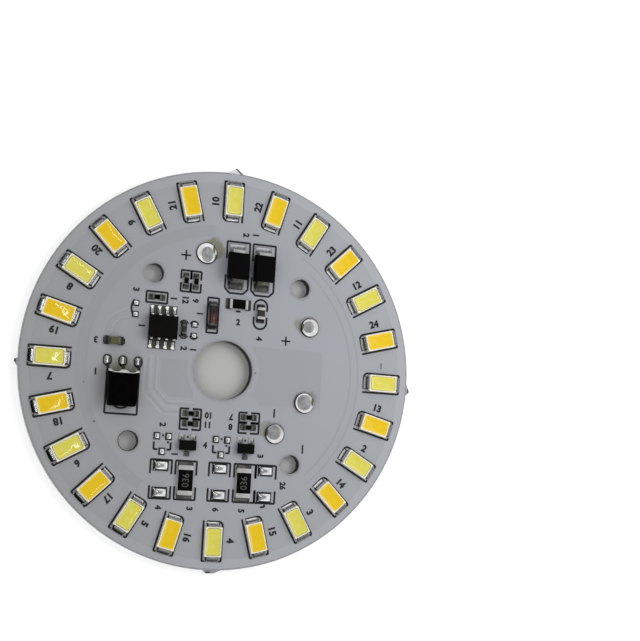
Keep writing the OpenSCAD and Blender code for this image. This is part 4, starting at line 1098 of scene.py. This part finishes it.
# driver parts: look, edge, slot and the pieces that share them
driverParts = [
    ("mould", 0.07, "black_moulding", "controller_body"), ("kneeTin", 0.04, "lead_metal", "controller_leads"),
    ("receiver", 0.1, "receiver_resin", "receiver_body"), ("blackTin", 0.05, "lead_metal", "receiver_leads"),
    ("deepMould", 0.08, "black_moulding", "rectifier_body_left", "rectifier_body_right"),
    ("endTin", 0.04, "lead_metal", "rectifier_leads"),
    ("mould", 0.05, "black_moulding", "transistor_body_left", "transistor_body_right"),
    ("darkTin", 0.03, "lead_metal", "transistor_leads"), ("darkTin", 0.06, "lead_metal", "zener_studs"),
    ("redGlass", 0.05, "red_glass", "zener_glass"), ("endTin", 0.03, "lead_metal", "resistor_ends"),
    ("endTin", 0.04, "lead_metal", "capacitor_ends"),
    ("darkCapacitor", 0.04, "capacitor_ceramic", "oval_capacitor"),
    ("capacitor", 0.04, "capacitor_ceramic", "receiver_capacitor"),
    ("darkCapacitor", 0.04, "capacitor_ceramic", "controller_capacitor")]
for look, edge, slotName, *names in driverParts:
    for name in names:
        softened(name, edge, looks[look])

for names in (("sense_resistor_left", "sense_resistor_right"), ("dropper_resistor",),
              ("single_resistor", "upper_resistor_pair", "left_resistor_pair", "right_resistor_pair")):
    look = twoFacedChip(names[0] + "_look", topOf(names[0]))
    for name in names:
        softened(name, 0.025, look)

# the plain value printed on each sensing resistor
valuePrint = {"text": "036", "height": 1.15, "z": topOf("sense_resistor_left")}
values = [setText(valuePrint["text"], x, senseY, valuePrint["z"], 90, valuePrint["height"],
                  printing["narrow"], 0.0) for x in fittedX]
keepAll("resistor_values", values, "valueInk")

for name, look in (("white_mask", "mask"), ("insulating_resin", "resin"), ("copper_pour", "copper"),
                   ("tinned_pads", "leadTin"), ("zener_chip", "silicon")):
    dress(cadNodes[name], looks[look])
softened("aluminium_core", 0.08, looks["aluminium"])
print("driver parts done")


# floor, light and camera

white = (1.0, 1.0, 1.0, 1.0)
floorLook = {"half": 3, "sheet": 0.033, "paleFrom": 0.008, "paleTo": 0.014, "grey": (186, 187, 184),
             "paler": (210, 210, 210), "white": (204, 204, 204), "glow": 0.6}


def stageFloor():
    half = floorLook["half"]
    mesh = bpy.data.meshes.new("floor")
    mesh.from_pydata([(-half, -half, 0), (half, -half, 0), (half, half, 0), (-half, half, 0)], [],
                     [(0, 1, 2, 3)])
    obj = newObject("floor", mesh)
    made = bpy.data.materials.new("floorWhite")
    made.use_nodes = True
    tree = made.node_tree
    tree.nodes.clear()
    # a grey sheet of painted shade lies under the board and shows in its holes only; it is painted paler
    # beyond the middle hole, and round it the floor is white
    far = vectorLength(pick(tree, "TexCoord", None, "Object"))
    outside = ease(far, floorLook["sheet"] - 0.002, floorLook["sheet"])
    pale = ease(far, floorLook["paleFrom"], floorLook["paleTo"])
    sheet = blend(pale, floorLook["grey"], floorLook["paler"])
    diffuse = pick(tree, "BsdfDiffuse", {"Color": blend(outside, sheet, floorLook["white"])})
    path = add(tree, "LightPath").outputs
    rays = ("Is Camera Ray", "Is Glossy Ray", "Is Transmission Ray")
    seen = greatest(*(nodeValue(tree, path[ray]) for ray in rays))
    glow = pick(tree, "Emission", {"Color": white, "Strength": seen * floorLook["glow"] * outside})
    add(tree, "OutputMaterial", {"Surface": pick(tree, "AddShader", {0: diffuse, 1: glow})})
    obj.data.materials.append(made)


stageFloor()
scene.view_settings.view_transform = "Standard"

# a room that is bright between two heights all round and dimmer straight above;
# angles are degrees from the zenith
skyLook = {"low": 0.1, "band": 0.98, "top": 0.27, "inner": (21, 30), "outer": (62, 72),
           "uneven": (0.88, 1.12), "shade": {"from": (-0.32, -0.06, 0.945), "spread": (7, 11), "left": 0.15}}
world = bpy.data.worlds.new("softStudio")
scene.world = world
world.use_nodes = True
tree = world.node_tree
tree.nodes.clear()


def easeAngle(height, angles, atFar=0.0, atNear=1.0):
    near, far = (cos(radians(a)) for a in angles)
    return ease(height, far, near, atFar, atNear)


direction = pick(tree, "TexCoord", None, "Generated")
height = split(direction)[2]
uneven = ease(noise(direction, 1.6, 1.0), 0.35, 0.65, *skyLook["uneven"])
band = uneven * easeAngle(height, skyLook["inner"], skyLook["band"], skyLook["top"])
level = (band - skyLook["low"]) * easeAngle(height, skyLook["outer"]) + skyLook["low"]
shade = skyLook["shade"]
towards = pick(tree, "VectorMath", {0: direction, 1: Vector(shade["from"]).normalized()}, "Value",
               operation="DOT_PRODUCT")
level = level * easeAngle(towards, shade["spread"], 1.0, shade["left"])
sky = pick(tree, "Background", {"Color": white, "Strength": level})
# past the floor's far edge a low camera sees plain white, which lights nothing
plain = pick(tree, "Background", {"Color": white, "Strength": 1.0})
seen = pick(tree, "LightPath", None, "Is Camera Ray")
add(tree, "OutputWorld", {"Surface": pick(tree, "MixShader", {0: seen, 1: sky, 2: plain})})


def softLight(name, spot, target, size, power, shine):
    data = bpy.data.lights.new(name, "AREA")
    data.shape = "RECTANGLE"
    data.size, data.size_y = size
    data.energy = power
    obj = newObject(name, data)
    obj.visible_glossy = shine
    obj.visible_camera = False
    obj.location = spot
    obj.rotation_euler = (Vector(target) - Vector(spot)).to_track_quat("-Z", "Y").to_euler()


lights = {"keyLight": {"spot": (0.085, 0.03, 0.1), "target": (0, 0, 0), "size": (0.08, 0.08),
                       "power": 0.058, "shine": False},
          "ceilingLamp": {"spot": (0.002, 0.035, 0.49), "target": (0.002, 0.035, 0), "size": (0.008, 0.12),
                          "power": 0.02, "shine": True}}
for name, light in lights.items():
    softLight(name, **light)

# the camera's place in millimetres and the way it looks, as read off the lamps in the photo
cameraLook = {"spot": (-46.86, -13.81, 192.26), "right": (0.94451, 0.05987, 0.32299),
              "forward": (0.32133, 0.03581, -0.94629), "lens": 64.77, "sensor": 36.0, "shift": 0.15,
              "clip": (0.01, 10)}
data = bpy.data.cameras.new("camera")
data.lens = cameraLook["lens"]
data.sensor_width = cameraLook["sensor"]
data.shift_y = cameraLook["shift"]
data.clip_start, data.clip_end = cameraLook["clip"]
camera = newObject("camera", data)
forward = Vector(cameraLook["forward"]).normalized()
right = Vector(cameraLook["right"])
right = (right - forward * right.dot(forward)).normalized()
turnMatrix = Matrix((right, right.cross(forward), -forward)).transposed().to_4x4()
camera.matrix_world = Matrix.Translation(Vector(cameraLook["spot"]) * mm) @ turnMatrix
scene.camera = camera
print("stage done")
